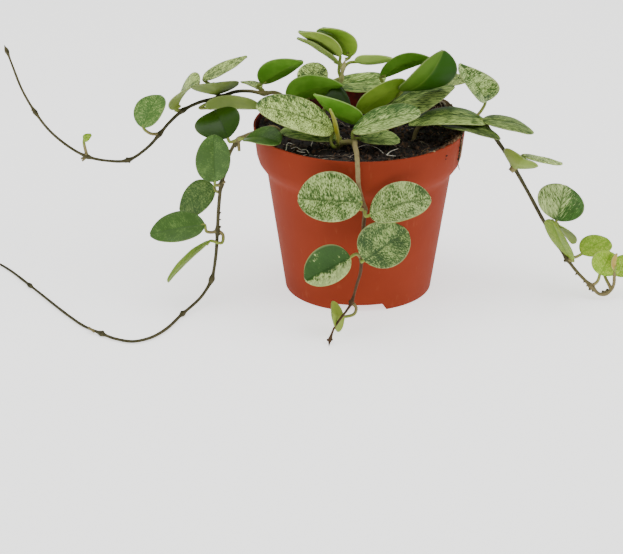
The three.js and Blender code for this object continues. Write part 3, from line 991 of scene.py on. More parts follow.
    def loose(self, draw: random.Random, reach: float, turn: float, arch: float) -> Piece:
        """Makes a short crooked fibre on the soil.

        Args:
            draw: The source of its turns and bends.
            reach: Its distance from the pot's axis.
            turn: Its direction from the axis.
            arch: How far its middle stands up.

        Returns:
            The fibre.
        """
        x, y = reach * math.cos(turn), reach * math.sin(turn)
        heading = draw.uniform(0, 2 * math.pi)
        points = []
        for k in range(4):
            lift = 0.7 + arch * math.sin(math.pi * k / 3) * draw.uniform(0.5, 1.4)
            points.append((x, y, self.top(x, y) + lift))
            heading += draw.uniform(-self.fibre_bend, self.fibre_bend)
            x += self.fibre_step * math.cos(heading)
            y += self.fibre_step * math.sin(heading)
            if math.hypot(x, y) > self.radius - 1:
                x *= 0.93
                y *= 0.93
        return self.strand(points, draw.uniform(*self.fibre_radius), draw.uniform(*self.fibre_tint))


# A dark root that hangs down the collar at the right.
COLLAR_ROOT = [
    (56.2, -20.5, 97.6), (56.8, -20.2, 94), (56.4, -19.8, 88), (55.6, -19.6, 83), (55.2, -19.4, 80),
    (56, -19.2, 77),
]

# Pale roots that lie on the soil: x, y and how far each point stands over it.
SURFACE_ROOTS = (
    (
        (-1, -24.3, 1), (3.4, -21.8, 1.2), (7.9, -21.4, 1.3), (10.5, -27, 1.3), (13.1, -34.2, 1.2),
        (15.1, -39.5, 1),
    ),
    ((14.6, -38.6, 1.2), (17, -31.5, 1.4), (21.1, -26.1, 1)),
    ((13.1, -34.2, 1.2), (16.3, -35.9, 1.2), (19.7, -35, 1)),
    ((-41.2, -27, 0.9), (-40.4, -18.9, 1.3), (-39.3, -14.4, 1.3), (-36.8, -13.4, 1)),
    (
        (-38.4, -24.7, 1), (-35.6, -24.3, 1.3), (-32.8, -27, 1.2), (-30.1, -26.1, 1.2), (-28.7, -29.7, 1),
        (-28.4, -35, 0.8),
    ),
    ((-35, -29.7, 1), (-32.8, -32.6, 1), (-30.6, -30.6, 1)),
    ((-27.3, -18.9, 0.8), (-26.2, -12.5, 0.8)),
)


# The plant


@dataclass(frozen=True)
class Blade:
    """One leaf: where its stalk leaves the stem, and the place and shape of its blade.

    The blade points along heading (from +X), rise (above level) and roll (about its midrib). Cup is how
    far its halves are raised, arch how far its midrib bows up, lean the share by which its left half is
    wider, point the form of its tip, and skew how much more its right half draws in to the tip than its
    left one. Via holds the places that the stalk bends through.
    """

    stem: int
    base: Triple
    aim: Triple
    size: tuple[float, float]
    upper: Upper
    under: Under = Under.OLIVE
    cup: float = 8.0
    arch: float = 1.0
    lean: float = 0.0
    point: float = 0.5
    skew: float = 0.0
    via: tuple = ()
    sweep: tuple[float, float] = (0.0, 0.0)  # More silver towards the tip, and towards the left. On an under side it makes those parts paler instead, and on the shaded under side a strong sweep leaves the other half dark as painted shade.
    tone: float = 1.0  # How light this leaf is beside others of its kind: partly its own colour, partly painted light and shade, lighter high in the crown and darker where other leaves shade it.

    def axes(self) -> tuple[Vector, Vector, Vector]:
        """Returns the directions along the midrib, out of the upper face and to the left."""
        heading, rise, roll = (math.radians(v) for v in self.aim)
        level = math.cos(rise)
        along = Vector((level * math.cos(heading), level * math.sin(heading), math.sin(rise)))
        upright = (Vector((0, 0, 1)) - along * along.z).normalized()
        face = Matrix.Rotation(roll, 3, along) @ upright
        return along, face, face.cross(along)

    def half_width(self, t: float, side: float) -> float:
        """Returns half the width at t along the blade, in mm, for its left side (1) or its right (-1)."""
        point = self.point - side * self.skew
        widest = 0.5 / (0.5 + point)
        peak = math.sqrt(widest) * (1 - widest) ** point
        outline = math.sqrt(t) * max(0.0, 1 - t) ** point / peak
        return max(BLADE_END, self.size[1] / 2 * outline)

    def spot(self, t: float, q: float, seed: float) -> Vector:
        """Returns a place on the blade's middle surface.

        Args:
            t: Share of the way from its foot to its tip.
            q: Place across it, from 1 at its left margin to -1 at its right.
            seed: Where its own unevenness is read.

        Returns:
            The place in mm.
        """
        along, face, left = self.axes()
        side = math.copysign(1, q)
        reach = self.half_width(t, side) * abs(q) * (1 + side * self.lean)
        arched = 4 * self.arch * t * (1 - t)
        cupped = reach * math.sin(math.radians(self.cup)) * math.sqrt(abs(q))
        groove = -GROOVE_DEPTH * math.exp(-((reach / GROOVE_WIDTH) ** 2)) * min(1, 4 * t, 4 * (1 - t))
        uneven = UNEVEN * noise.noise(Vector((t * self.size[0] / 8, q * self.size[1] / 16, seed)))
        rolled = -ROLLED_EDGE * abs(q) ** 6
        place = Vector(self.base) + along * self.size[0] * t
        place += face * (arched + cupped + groove + uneven + rolled)
        return place + left * side * reach * math.cos(math.radians(self.cup))


BLADE_END = 0.6
BLADE_THICKNESS = 1.4
EDGE_SHARE = 0.45  # Thickness of the margin over the midrib's.
GROOVE_DEPTH = 0.35
GROOVE_WIDTH = 1.0
ROLLED_EDGE = 0.35
UNEVEN = 0.5
BLADE_ROWS = 18
BLADE_COLUMNS = (-1, -0.93, -0.76, -0.52, -0.27, -0.08, 0, 0.08, 0.27, 0.52, 0.76, 0.93, 1)
SEED_STEP = 7.3  # Sets each leaf's unevenness and pattern apart from the last one's.
HALVES_APART = 40.0  # Sets the patterns of a leaf's two halves apart.
LEAVES_APART = 9.0


@dataclass
class LeafPattern:
    """The flat sheet that every leaf is copied from, and the materials of leaves and stems."""

    sheet: Piece
    materials: dict = field(default_factory=dict)
    made: int = 0

    @classmethod
    def start(cls) -> "LeafPattern":
        """Returns a pattern with a new sheet."""
        columns = len(BLADE_COLUMNS) - 1
        sheet = placed(
            bpy.ops.mesh.primitive_grid_add, x_subdivisions=BLADE_ROWS, y_subdivisions=columns, size=2
        )
        sheet.data.uv_layers[0].name = "veins"
        return cls(sheet)

    def material(self, face: Enum) -> Material:
        """Returns the material of a leaf's face or a stem's skin, made at its first use."""
        if face not in self.materials:
            kind = {Upper: "leaf_upper", Under: "leaf_under", Bark: "stem"}[type(face)]
            self.materials[face] = face.value.build(f"{kind}_{face.name.lower()}")
        return self.materials[face]

    def leaf(self, blade: Blade) -> Piece:
        """Makes one leaf blade from the sheet, thick and rounded at its margin."""
        self.made += 1
        seed = SEED_STEP * self.made
        piece = self.sheet.copy()
        piece.data = self.sheet.data.copy()
        bpy.context.scene.collection.objects.link(piece)
        spots = [self.grid_place(v.co) for v in piece.data.vertices]
        self.lay_veins(piece, blade, spots, seed)
        along, across = blade.sweep
        paint(piece, "margin", [float(abs(q) == 1 or t in (0, 1)) for t, q in spots])
        paint(piece, "rib", [float(q == 0) for _, q in spots])
        paint(piece, "splash", [along * (t - 0.5) + across * q for t, q in spots])
        paint(piece, "tone", blade.tone)
        body = piece.vertex_groups.new(name="body")
        for vertex, (t, q) in zip(piece.data.vertices, spots):
            vertex.co = blade.spot(t, q, seed) * MM
            body.add([vertex.index], 1 - abs(q) ** 2, "REPLACE")
        clad(piece, self.material(blade.upper), self.material(blade.under))
        swelling = {"thickness": BLADE_THICKNESS * MM, "offset": 0, "use_even_offset": False}
        thinning = {"vertex_group": "body", "thickness_vertex_group": EDGE_SHARE}
        modify(piece, "SOLIDIFY", **swelling, **thinning, material_offset=1, material_offset_rim=1)
        modify(piece, "SUBSURF", levels=1, render_levels=1)
        smooth(piece)
        return piece

    @staticmethod
    def grid_place(co: Vector) -> tuple[float, float]:
        """Returns t and q of a point of the flat sheet."""
        t = (1 - math.cos(math.pi * (co.x + 1) / 2)) / 2
        column = round((co.y + 1) / 2 * (len(BLADE_COLUMNS) - 1))
        return round(t, 6), BLADE_COLUMNS[column]

    @staticmethod
    def lay_veins(piece: Piece, blade: Blade, spots: list[tuple], seed: float) -> None:
        """Lays the map so that it runs along the side veins, apart in the two halves.

        Args:
            piece: The leaf's sheet.
            blade: The leaf.
            spots: t and q of each vertex.
            seed: What sets its map apart from other leaves'.
        """
        slant = math.radians(blade.upper.value.slant)
        layer = piece.data.uv_layers["veins"].data
        for face in piece.data.polygons:
            side = math.copysign(1, sum(spots[v][1] for v in face.vertices))
            for corner in face.loop_indices:
                t, q = spots[piece.data.loops[corner].vertex_index]
                x = t * blade.size[0]
                y = abs(q) * blade.half_width(t, side)
                run = x * math.cos(slant) + y * math.sin(slant) + HALVES_APART * side + LEAVES_APART * seed
                gap = y * math.cos(slant) - x * math.sin(slant)
                layer[corner].uv = (run * MM, gap * MM)


STALK_FOOT = 1.0
STALK_TOP = 0.8
STALK_FLARE = (0.3, 0.1)  # How much thicker its very foot is, and the share of it that is so.
STALK_BROWN = (0.7, 0.16)  # How brown its foot is beside the stem, and how brown its top is.
STEM_UNEVEN = 0.12


@dataclass
class Plant:
    """One vine or shoot: a stem through its points, leaf stalks and leaves."""

    name: str
    thick: float
    thin: float
    joints: tuple[int, ...]
    points: tuple
    bark: tuple  # Share of the stem's length, and how brown it is there.
    blades: tuple
    stubs: tuple = ()  # Old leaf stalks and rootlets: foot, tip, radius at the foot, brownness.
    swell: float = 0.75
    swell_length: float = 2.1
    sample: float = 1.2
    slimness: float = 0.92
    skin: Bark = Bark.CORKY

    def brown(self, share: float) -> float:
        """Returns how brown the stem is at a share of its length."""
        for (start, low), (end, high) in zip(self.bark, self.bark[1:]):
            if share <= end:
                return low + (high - low) * (share - start) / (end - start)
        return self.bark[-1][1]

    def stem_samples(self) -> list[tuple[Vector, float]]:
        """Returns the stem's rings, swollen at its joints and tapered at its tip."""
        route = smooth_route(self.points, self.sample)
        knots = [Vector(self.points[k]) for k in self.joints]
        end = len(route) - 1
        samples = []
        for i, place in enumerate(route):
            radius = self.slimness * (self.thick + (self.thin - self.thick) * i / end)
            nearest = min((place - knot).length for knot in knots)
            radius += self.swell * math.exp(-((nearest / self.swell_length) ** 2))
            radius *= 1 + STEM_UNEVEN * noise.noise(place / 8)
            radius *= min(1, 0.25 + (end - i) / 3)
            samples.append((place, radius))
        return samples

    def stem(self) -> Piece:
        """Makes the stem."""
        samples = self.stem_samples()
        piece = rod("stem", samples, 3)
        tree = kdtree.KDTree(len(samples))
        for i, (place, _) in enumerate(samples):
            tree.insert(place * MM, i)
        tree.balance()
        end = len(samples) - 1
        paint(piece, "bark", [self.brown(tree.find(v.co)[1] / end) for v in piece.data.vertices])
        return piece

    def stalk(self, blade: Blade) -> Piece:
        """Makes a leaf's stalk, from inside the stem to under the blade's foot."""
        along, face, _ = blade.axes()
        start, base = Vector(self.points[blade.stem]), Vector(blade.base)
        bends = blade.via or [base - along * min((base - start).length / 2, 4)]
        route = smooth_route([start, *bends, base, base + along * 3 - face * 0.3], self.sample)
        samples = []
        for i, place in enumerate(route):
            share = i / (len(route) - 1)
            flare = STALK_FLARE[0] * math.exp(-((share / STALK_FLARE[1]) ** 2))
            samples.append((place, STALK_FOOT + (STALK_TOP - STALK_FOOT) * share + flare))
        piece = rod("stalk", samples, 2)
        level = self.brown(blade.stem / len(self.points))
        values = []
        for vertex in piece.data.vertices:
            away = min(1, (vertex.co / MM - start).length / max(1, (base - start).length))
            values.append(level * STALK_BROWN[0] * (1 - away) + STALK_BROWN[1] * away)
        paint(piece, "bark", values)
        return piece

    @staticmethod
    def stub(foot: Triple, tip: Triple, radius: float, brown: float) -> Piece:
        """Makes one old stalk or rootlet, thinner at its blunt tip.

        Args:
            foot: Where it leaves the stem.
            tip: Where it ends.
            radius: Its radius at the foot.
            brown: How brown it is.

        Returns:
            The stub.
        """
        start, end = Vector(foot), Vector(tip)
        piece = rod("stub", [(start.lerp(end, k / 4), radius * (1 - 0.07 * k)) for k in range(5)], 1)
        paint(piece, "bark", brown)
        return piece

    def scars(self) -> list[Piece]:
        """Makes the pair of small bumps that stand on each joint."""
        bumps = []
        draw = random.Random(len(self.points))
        for k in self.joints[1:]:
            spot = Vector(self.points[k])
            after = self.points[min(k + 1, len(self.points) - 1)]
            run = (Vector(after) - Vector(self.points[k - 1])).normalized()
            out = run.cross(Vector([draw.uniform(-1, 1) for _ in range(3)])).normalized()
            for side in (-1, 1):
                tip = spot + side * out * draw.uniform(1.5, 1.8) + run * draw.uniform(-0.5, 0.5)
                level = self.brown(k / len(self.points)) + 0.1
                bumps.append(self.stub(spot, tip, draw.uniform(0.8, 1.0), level))
        return bumps

    def build(self, pattern: LeafPattern) -> None:
        """Makes the plant's two pieces: its stem with the stalks and stubs, and its leaves."""
        rods = [self.stem(), *(self.stalk(b) for b in self.blades), *(self.stub(*s) for s in self.stubs)]
        woody = joined(f"{self.name}_stem", [*rods, *self.scars()])
        clad(woody, pattern.material(self.skin))
        finished(woody, "hoya_stem", self.name)
        leaves = joined(f"{self.name}_leaves", [pattern.leaf(b) for b in self.blades])
        finished(leaves, "hoya_leaf", self.name)


VINE_FRONT = Plant(
    name="vine_front", thick=2.2, thin=0.65, slimness=0.8, swell=0.6, skin=Bark.RUDDY,
    joints=(1, 2, 9, 12, 15, 19),
    points=(
        (-14, -18, 80), (-11.7, -20, 92.4), (-3.6, -25, 95.6), (-3.2, -38, 98.4), (-2.5, -55, 100.5),
        (-2.3, -62, 99.6), (-2, -65, 94.5), (-1.5, -64.5, 86), (0, -64.5, 79), (2, -65, 71.5),
        (1.5, -65, 64), (1, -65, 53.5), (0.5, -64.5, 42.5), (0, -64, 34), (-2, -62.5, 25.5),
        (-4.8, -63, 15.2), (-7.7, -70, 13.2), (-11.4, -76, 10.8), (-14.6, -80, 7.3), (-16.8, -84, 2.4),
        (-17.5, -90, 1.2),
    ),
    bark=((0, 0.36), (0.36, 0.42), (0.5, 0.65), (0.62, 0.82), (1, 0.88)),
    blades=(
        Blade(1, (-15, -23, 102), (-163, 23, -38), (48, 24), Upper.SILVER, cup=10, arch=3,
              sweep=(-0.05, 0.07), via=((-15, -27, 93.8), (-16.4, -27, 97.2)), tone=1.1),
        Blade(2, (-4, -25, 102), (-12, 20, 24), (40, 21), Upper.BRUSHED, cup=10, arch=2, sweep=(0, -0.12),
              via=((-4.2, -25.5, 98.6),)),
        Blade(2, (0, -22, 96.5), (-4, -2, 8), (22, 18), Upper.BRUSHED, sweep=(0.1, 0), tone=1.15),
        Blade(1, (-13, -20, 96.3), (-174, 8, -15), (32, 18), Upper.STREAKED, arch=1.5, point=0.6,
              tone=0.85),
        Blade(1, (-12.3, -26, 95.2), (-143, 75, -19), (22.3, 7), Upper.LIME, Under.YOUNG, cup=16,
              point=0.75, via=((-12, -24, 93.6),)),
        Blade(9, (0, -68, 77), (-171, 7, -67), (35, 28), Upper.FROSTED, lean=-0.15,
              via=((-1, -67.5, 73.3),)),
        Blade(9, (5, -69, 70), (0, 16, 34), (34, 27), Upper.FROSTED, cup=16, arch=2.4, point=0.5),
        Blade(12, (2, -68, 43), (-9, 40, 93), (30, 29), Upper.MOTTLED, cup=10, lean=0.13, tone=0.85),
        Blade(12, (-6, -69, 45), (-157, -19, -63), (28, 24), Upper.BANDED, cup=26, lean=-0.2,
              sweep=(0, 0.5)),
        Blade(15, (-9, -67, 8.2), (-118, 27, 113), (16, 18), Upper.LIME, Under.LIME, point=0.65, tone=0.8,
              via=((-2.2, -64, 12.4), (-3.4, -66, 9.4))),
    ),
)

VINE_LEFT_LOW = Plant(
    name="vine_left_low", thick=1.15, thin=0.8,
    joints=(4, 8, 10, 12, 16, 21, 24),
    points=(
        (-44, 2, 76), (-44, 1, 90), (-48, -6, 97.6), (-56, -15, 98.8), (-67.6, -23, 96.4),
        (-71.5, -24, 91), (-73.6, -24, 85.5), (-75.4, -24.5, 77), (-77.5, -25, 70.5), (-79, -26.5, 58.5),
        (-80, -28, 43.5), (-81, -30, 29.5), (-83.5, -32, 15.5), (-86, -34, 11), (-90, -38, 6.5),
        (-95, -42, 3), (-99.5, -49, 1.8), (-108, -69, 1.4), (-116, -80, 1.4), (-125, -84.5, 1.4),
        (-135, -81, 1.4), (-143, -75, 1.7), (-153, -65, 1.3), (-162.5, -52, 1.3), (-189.5, -9.5, 1.6),
        (-203.5, 13, 1.2), (-212, 24, 1.2),
    ),
    bark=((0, 0.3), (0.12, 0.45), (0.2, 0.8), (1, 0.95)),
    blades=(
        Blade(4, (-64, -28, 98.5), (-27, 3, 9), (22, 20), Upper.GREEN, cup=14, arch=2.4, point=0.4,
              tone=0.78),
        Blade(4, (-73.6, -22.5, 97.2), (117, 28.4, -18.3), (20.8, 27.8), Upper.DARK, cup=15, arch=3.6,
              lean=0.15, point=0.685, skew=-0.065, tone=0.85),
        Blade(8, (-81, -27, 73), (-128, 88, -124), (28, 21), Upper.GREEN, cup=11, lean=0.12, tone=0.9),
        Blade(8, (-82, -17.4, 65.9), (-172.5, -34, -35), (23.6, 20.8), Upper.FLECKED, cup=1, point=0.58,
              skew=0.2, via=((-78.5, -24.5, 66), (-81, -21, 65)), tone=0.85),
        Blade(10, (-87, -33, 49.4), (-176, -10, -35), (31, 21), Upper.GREEN, cup=14, point=0.6, tone=0.92,
              via=((-83, -29, 43), (-86, -30, 44))),
        Blade(10, (-84, -32, 39), (-173, -44, 8), (34, 16), Upper.LIME, Under.OLIVE, cup=12, point=0.36,
              tone=0.8, via=((-77, -27.5, 41), (-77.5, -30, 37))),
    ),
    stubs=(
        ((-67.8, -23.4, 95.6), (-67.2, -24.6, 90.2), 1.2, 0.42),
        ((-69, -23.6, 94.6), (-70.2, -24.4, 92.6), 1.7, 0.8),
        ((-77.4, -25, 71), (-75.4, -26, 72.4), 1.1, 0.5),
        ((-79.3, -27, 53), (-77.8, -27.5, 54.6), 0.5, 0.8),
        ((-79.6, -27.4, 50), (-77.8, -28, 50.4), 0.45, 0.8),
        ((-80, -28, 44.5), (-78.1, -28.4, 46.4), 0.9, 0.8),
        ((-80.2, -28.2, 43), (-78.4, -28.6, 41.4), 0.9, 0.8),
        ((-147, -72.5, 1.6), (-150.6, -70.5, 3.4), 0.9, 0.55),
    ),
)

VINE_LEFT_HIGH = Plant(
    name="vine_left_high", thick=1.3, thin=0.7,
    joints=(5, 8, 10, 12, 14, 16, 19, 22),
    points=(
        (-38, 20, 76), (-38, 20, 92), (-41, 17, 103), (-43.5, 14, 109), (-48, 11.5, 112), (-54, 10, 112),
        (-62, 8, 114), (-70, 7, 114), (-79, 6, 111), (-90, 5, 108.5), (-99.5, 4, 104), (-107, 3, 97.5),
        (-113, 2, 90.5), (-119.5, 0, 83.5), (-131, -3, 76.5), (-142.5, -4, 76.5), (-154, -5, 79.5),
        (-163.5, -5, 85), (-174.5, -4, 94.5), (-182.5, -2, 105), (-189.5, 1, 117), (-195.2, 4.1, 132),
        (-197.6, 5.3, 138.8), (-199, 6, 142),
    ),
    bark=((0, 0.2), (0.2, 0.35), (0.26, 1.0), (0.55, 0.9), (1, 0.8)),
    blades=(
        Blade(5, (-55, 9, 118), (-23, 34, -36), (30, 23), Upper.GREEN, Under.FRESH, cup=12, arch=2,
              point=0.7),
        Blade(5, (-56, 12, 114), (144, 5, 12), (13, 13), Upper.SILVER),
        Blade(8, (-80.4, 6, 113), (-92, 32, 7), (26, 28), Upper.FLECKED, Under.YELLOW, cup=12, arch=0,
              point=0.6, tone=0.75),
        Blade(8, (-86.6, 6, 104.5), (-17, 6, -37), (33.5, 24), Upper.FLECKED, Under.YELLOW, cup=12,
              lean=-0.12, point=0.4, tone=0.9),
        Blade(8, (-88, 8, 121), (13, 25, 0), (28, 18), Upper.SILVER, cup=6, arch=0, point=0.8,
              via=((-82, 9, 116),)),
        Blade(10, (-103, 4, 105), (-36, 49, 21), (25, 27), Upper.SILVER, Under.YELLOW, cup=16, arch=3,
              point=0.4),
        Blade(12, (-122, 0, 95), (51, 46, -5), (21, 23), Upper.FLECKED, arch=1.5, via=((-118, 1, 91),),
              tone=1.2),
        Blade(16, (-155.2, -6, 90), (-30, 38, 82), (6.5, 4.4), Upper.LIME, Under.LIME, point=0.7, tone=0.8,
              via=((-154.8, -5.4, 84), (-155.3, -6, 87.5))),
    ),
    stubs=(
        ((-154, -5, 79.5), (-157.4, -6.2, 78.6), 0.8, 0.6),
        ((-154, -5, 79.5), (-156.8, -6.4, 77.2), 0.7, 0.5), ((-154, -5, 79.5), (-154.6, -6, 82), 1.0, 0.5),
        ((-182.5, -2, 105), (-184.4, -3, 106.6), 0.6, 0.7), ((-79, 6, 111), (-79.6, 5, 106), 1.5, 0.35),
        ((-77.6, 6, 111.2), (-77, 5, 106.8), 1.2, 0.35),
    ),
)

VINE_RIGHT = Plant(
    name="vine_right", thick=1.4, thin=1.0,
    joints=(6, 8, 11, 13, 15, 17),
    points=(
        (31, -3, 76), (31, -3, 90), (34, -3, 97), (42, -4, 99.5), (52, -5, 100.2), (61, -6.5, 100.8),
        (71, -8, 98), (79, -9.5, 88.5), (87, -12, 76), (96.5, -14, 59.5), (104.5, -16, 45),
        (108, -17, 39.5), (112.5, -18, 32), (118.5, -20, 23), (124.5, -22, 15.5), (132.5, -25, 8),
        (137.5, -26, 3.5), (141, -26, 4.2), (144, -26, 6.4), (145.2, -26.2, 10), (145.2, -26.5, 15),
        (145.1, -26.8, 19),
    ),
    bark=((0, 0.35), (0.2, 0.55), (0.3, 0.9), (0.75, 0.85), (0.85, 0.6), (1, 0.45)),
    blades=(
        Blade(5, (71.2, 4, 109.2), (-152, 55, -95), (31, 18), Upper.FROSTED, cup=34, arch=5.2, lean=-0.3,
              point=0.6, skew=0.3, via=((67.5, -1, 104),), tone=1.2),
        Blade(6, (69, -8, 102), (4, -15, 2), (30, 22), Upper.STREAKED, cup=0, arch=2.4, point=0.6),
        Blade(6, (71, -6, 101), (-172, 0, -5), (44, 24), Upper.STREAKED, cup=0, arch=5, point=0.75,
              sweep=(0, 0.1), tone=1.22),
        Blade(4, (46, -11, 100.6), (-18, -8, -3), (34, 17), Upper.STREAKED, arch=2, tone=0.55),
        Blade(8, (87, -13, 76), (-79, 33, -34), (23, 24), Upper.GREEN, Under.YELLOW, cup=26, arch=-1,
              point=0.65, tone=1.1),
        Blade(8, (92, -8, 81), (14, -16, -6), (25, 19), Upper.SILVER, cup=2, arch=0, point=0.6, tone=1.2,
              via=((89.5, -9, 78.5),)),
        Blade(11, (112, -17, 45.5), (70, 52, 36), (21, 30), Upper.VEINED, cup=2, sweep=(0.12, 0.22),
              via=((110.5, -18, 42),)),
        Blade(13, (121, -23, 24.5), (-153, 61, -176), (30, 21), Upper.LIME, cup=6, lean=0.08, point=0.42,
              tone=0.65),
        Blade(11, (113, -16, 42), (49, -47, 11), (22, 14), Upper.LIME, Under.YELLOW, arch=1.3, point=0.6),
        Blade(13, (127, -20, 26), (32, 14, 13), (19, 19), Upper.LIME, Under.LIME, lean=-0.09),
        Blade(15, (137, -26, 16), (29, 61, 69), (14, 19), Upper.LIME, Under.LIME,
              via=((135.8, -26, 11.5),)),
        Blade(18, (144, -19, 15), (21, 12, 57), (17, 13), Upper.LIME, Under.LIME, point=0.6),
        Blade(21, (145.1, -27.2, 19), (-60, 84, 20), (10.5, 4.6), Upper.BUD, Under.BUD, cup=20, point=0.5),
    ),
    stubs=(
        ((118.6, -20.5, 22.6), (116.8, -21, 21.8), 1.1, 0.75),
        ((124.6, -22, 15.2), (123.5, -22.5, 13.9), 0.6, 0.9), ((129, -24, 11), (128, -24.4, 10), 0.5, 0.9),
        ((131, -24.5, 9.2), (129.7, -25, 8), 0.5, 0.9), ((132.5, -25, 8), (131.4, -26, 6), 1.0, 0.9),
        ((134, -25.4, 6.6), (133.2, -26, 5), 0.8, 0.9), ((142, -26, 4.6), (141.6, -26, 6.6), 1.2, 0.85),
        ((139.6, -26, 3.8), (139, -26, 5.6), 1.0, 0.85),
        ((87.8, -12.2, 76.2), (85.2, -13, 73.6), 2.2, 0.38),
    ),
)

SHOOT_TOP = Plant(
    name="shoot_top", thick=1.6, thin=1.0, slimness=0.85,
    joints=(4, 5),
    points=(
        (-24, 10, 76), (-24, 10, 90), (-19, 10, 103.5), (-12.2, 10, 113.5), (-10.1, 10, 121),
        (-9.2, 10, 127.4), (-7.9, 10, 132),
    ),
    bark=((0, 0.3), (0.5, 0.0), (1, -0.3)),
    blades=(
        Blade(5, (-11, 8, 135), (-164, 34, 31), (29, 18), Upper.FLECKED, Under.YELLOW, cup=4, arch=2.6,
              point=0.68, via=((-11, 9.6, 130.5),), tone=1.6),
        Blade(6, (-5, 9.6, 134.4), (-159, 46.5, 31), (25, 23.4), Upper.FLECKED, Under.OLIVE, cup=0,
              arch=3.7, lean=-0.05, point=0.54, skew=-0.11, via=((-6, 10, 133),), tone=1.45),
        Blade(4, (-11.6, 11, 129), (178, 33, 25), (28, 17.5), Upper.FLECKED, Under.YELLOW, cup=4, arch=1.4,
              point=0.55, via=((-11.6, 10.4, 124.6),), tone=1.35),
        Blade(5, (-2, 12, 130), (-21, 13, -36), (22, 17), Upper.SILVER, Under.SOFT, cup=5, arch=0,
              point=0.7, tone=1.4),
        Blade(4, (-16, 13.4, 116.4), (30, -4, 20), (36.5, 20), Upper.STREAKED, cup=14, arch=-1.2,
              lean=-0.3, point=0.56, skew=0.19, tone=1.5),
    ),
)

SHOOT_CENTER = Plant(
    name="shoot_center", thick=1.5, thin=1.1,
    joints=(2,),
    points=((1, -8, 76), (1, -8, 90), (0, -9, 98), (-1, -6, 104)),
    bark=((0, 0.4), (1, 0.2)),
    blades=(
        Blade(2, (0, -13, 102), (-173, 36, 46), (32, 18), Upper.FLECKED, Under.FRESH, cup=12, arch=-1.5,
              lean=0.2, point=0.95, tone=1.28),
        Blade(2, (-1, -5, 106), (-8, 39, -47), (33, 21), Upper.FLECKED, Under.OLIVE, cup=3, arch=0,
              point=0.54, tone=1.18),
        # A leaf deep in the crown: its low tone and the shaded under side paint it in shade.
        Blade(3, (-5.4, -4, 107), (132, 47, -32), (16, 15), Upper.DARK, Under.DEEP, cup=0, lean=0.65,
              point=0.43, skew=-0.08, tone=0.5),
    ),
)

SHOOT_LEFT = Plant(
    name="shoot_left", thick=1.5, thin=1.1,
    joints=(2,),
    points=((-30, 8, 76), (-30, 8, 90), (-32, 8, 100), (-33, 9, 106)),
    bark=((0, 0.4), (1, 0.2)),
    blades=(
        Blade(2, (-41, 4, 112), (-8, 15, -54), (33, 24), Upper.MOTTLED, Under.FRESH, arch=2.3, point=0.85,
              via=((-37, 7, 107),), tone=1.1),
        Blade(3, (-27, 12, 114), (69, 63, -13), (15, 21), Upper.SILVER, cup=3, tone=1.4),
    ),
)

SHOOT_RIGHT = Plant(
    name="shoot_right", thick=1.6, thin=1.2,
    joints=(2, 3),
    points=((16, 9, 76), (16, 9, 90), (17, 9, 99), (17, 10, 107), (16, 11, 112)),
    bark=((0, 0.4), (1, 0.2)),
    blades=(
        Blade(4, (12, 12, 121), (-14, 24, -59), (32, 13), Upper.FLECKED, Under.FRESH, cup=12, arch=4.6,
              point=0.6, via=((14, 11, 117),)),
        # The shaded under side and the sweep paint one half of this leaf in shade.
        Blade(3, (24, -4.9, 118.8), (-34.6, 48, -22.7), (38.5, 35), Upper.MOTTLED, Under.DEEP, cup=4,
              arch=-4.7, lean=0.33, point=0.6, skew=-0.09, sweep=(0, -0.42)),
        Blade(2, (17, 5, 106), (-0.5, 17.5, 16.5), (38.5, 26.5), Upper.STREAKED, cup=-10, arch=2.8,
              lean=-0.18, point=0.81, skew=0.09, sweep=(0, -0.15), tone=0.95),
        Blade(4, (32, 16, 112.3), (6, 9, 7), (30, 20), Upper.SILVER, arch=1.5, tone=0.75),
    ),
)

PLANTS = (
    VINE_FRONT, VINE_LEFT_LOW, VINE_LEFT_HIGH, VINE_RIGHT, SHOOT_TOP, SHOOT_CENTER, SHOOT_LEFT, SHOOT_RIGHT,
)


# The studio


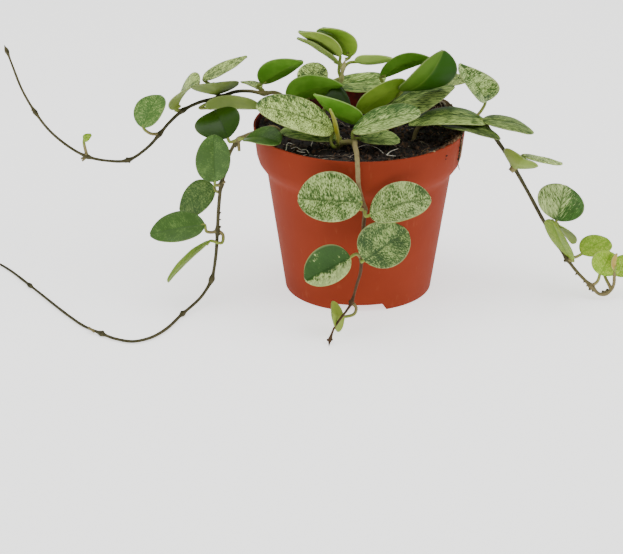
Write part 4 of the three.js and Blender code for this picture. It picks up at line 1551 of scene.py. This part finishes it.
@dataclass
class Studio:
    """The photograph's camera, a pale floor and soft light."""

    camera_place: Triple = (-0.027, -1.2795, 0.5681)
    pitch: float = 23.84
    lens: float = 139.2
    sensor: float = 36.0
    floor_size: float = 12.0
    paper: str = "#f7f7f5"
    table_light: float = 1.2
    even_light: float = 0.55
    lamps: tuple = (
        ("left", (-1.2, -0.35, 0.9), 1.0, 6),
        ("right", (1.2, -0.45, 0.9), 1.0, 7),
        ("top", (0.0, 0.0, 1.5), 1.2, 13),
    )
    lamp_aim: Triple = (0.0, 0.0, 0.08)

    def build(self) -> None:
        """Makes the camera, the floor and the lights."""
        self.camera()
        self.floor()
        self.even()
        for lamp in self.lamps:
            self.lamp(*lamp)

    def camera(self) -> None:
        """Adds the camera."""
        turn = (math.radians(90 - self.pitch), 0, 0)
        camera = placed(bpy.ops.object.camera_add, location=self.camera_place, rotation=turn)
        camera.data.lens = self.lens
        camera.data.sensor_width = self.sensor
        bpy.context.scene.camera = camera

    def floor(self) -> None:
        """Adds the floor: white paper, lit a little from behind."""
        floor = placed(bpy.ops.mesh.primitive_plane_add, size=self.floor_size)
        floor.name = "floor"
        recipe = Recipe("lit_paper")
        recipe.shader.inputs["Emission Color"].default_value = (1, 1, 1, 1)
        recipe.shader.inputs["Emission Strength"].default_value = self.table_light
        clad(floor, recipe.dress(self.paper, 0.9))

    def even(self) -> None:
        """Adds the even light all round."""
        world = bpy.data.worlds.new("studio")
        bpy.context.scene.world = world
        world.use_nodes = True
        back = world.node_tree.nodes["Background"]
        back.inputs["Color"].default_value = (1, 1, 1, 1)
        back.inputs["Strength"].default_value = self.even_light

    def lamp(self, name: str, place: Triple, size: float, power: float) -> None:
        """Adds a soft lamp aimed at the plant.

        Args:
            name: The lamp's name.
            place: Where it stands, in metres.
            size: Width of its panel.
            power: Watts.
        """
        lamp = placed(bpy.ops.object.light_add, type="AREA", location=place)
        lamp.name = name
        lamp.data.size = size
        lamp.data.energy = power
        aim = Vector(self.lamp_aim) - Vector(place)
        lamp.rotation_euler = aim.to_track_quat("-Z", "Y").to_euler()


def main() -> None:
    """Builds the studio, the pot, the soil and the plant around the frame."""
    logging.basicConfig(level=logging.INFO, format="%(message)s")
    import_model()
    Studio().build()
    _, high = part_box("pot")
    Pot(rim_radius=high.x / MM, height=high.z / MM).build()
    Soil().build()
    pattern = LeafPattern.start()
    for plant in PLANTS:
        plant.build(pattern)
    bpy.data.objects.remove(pattern.sheet)


if __name__ == "__main__":
    main()
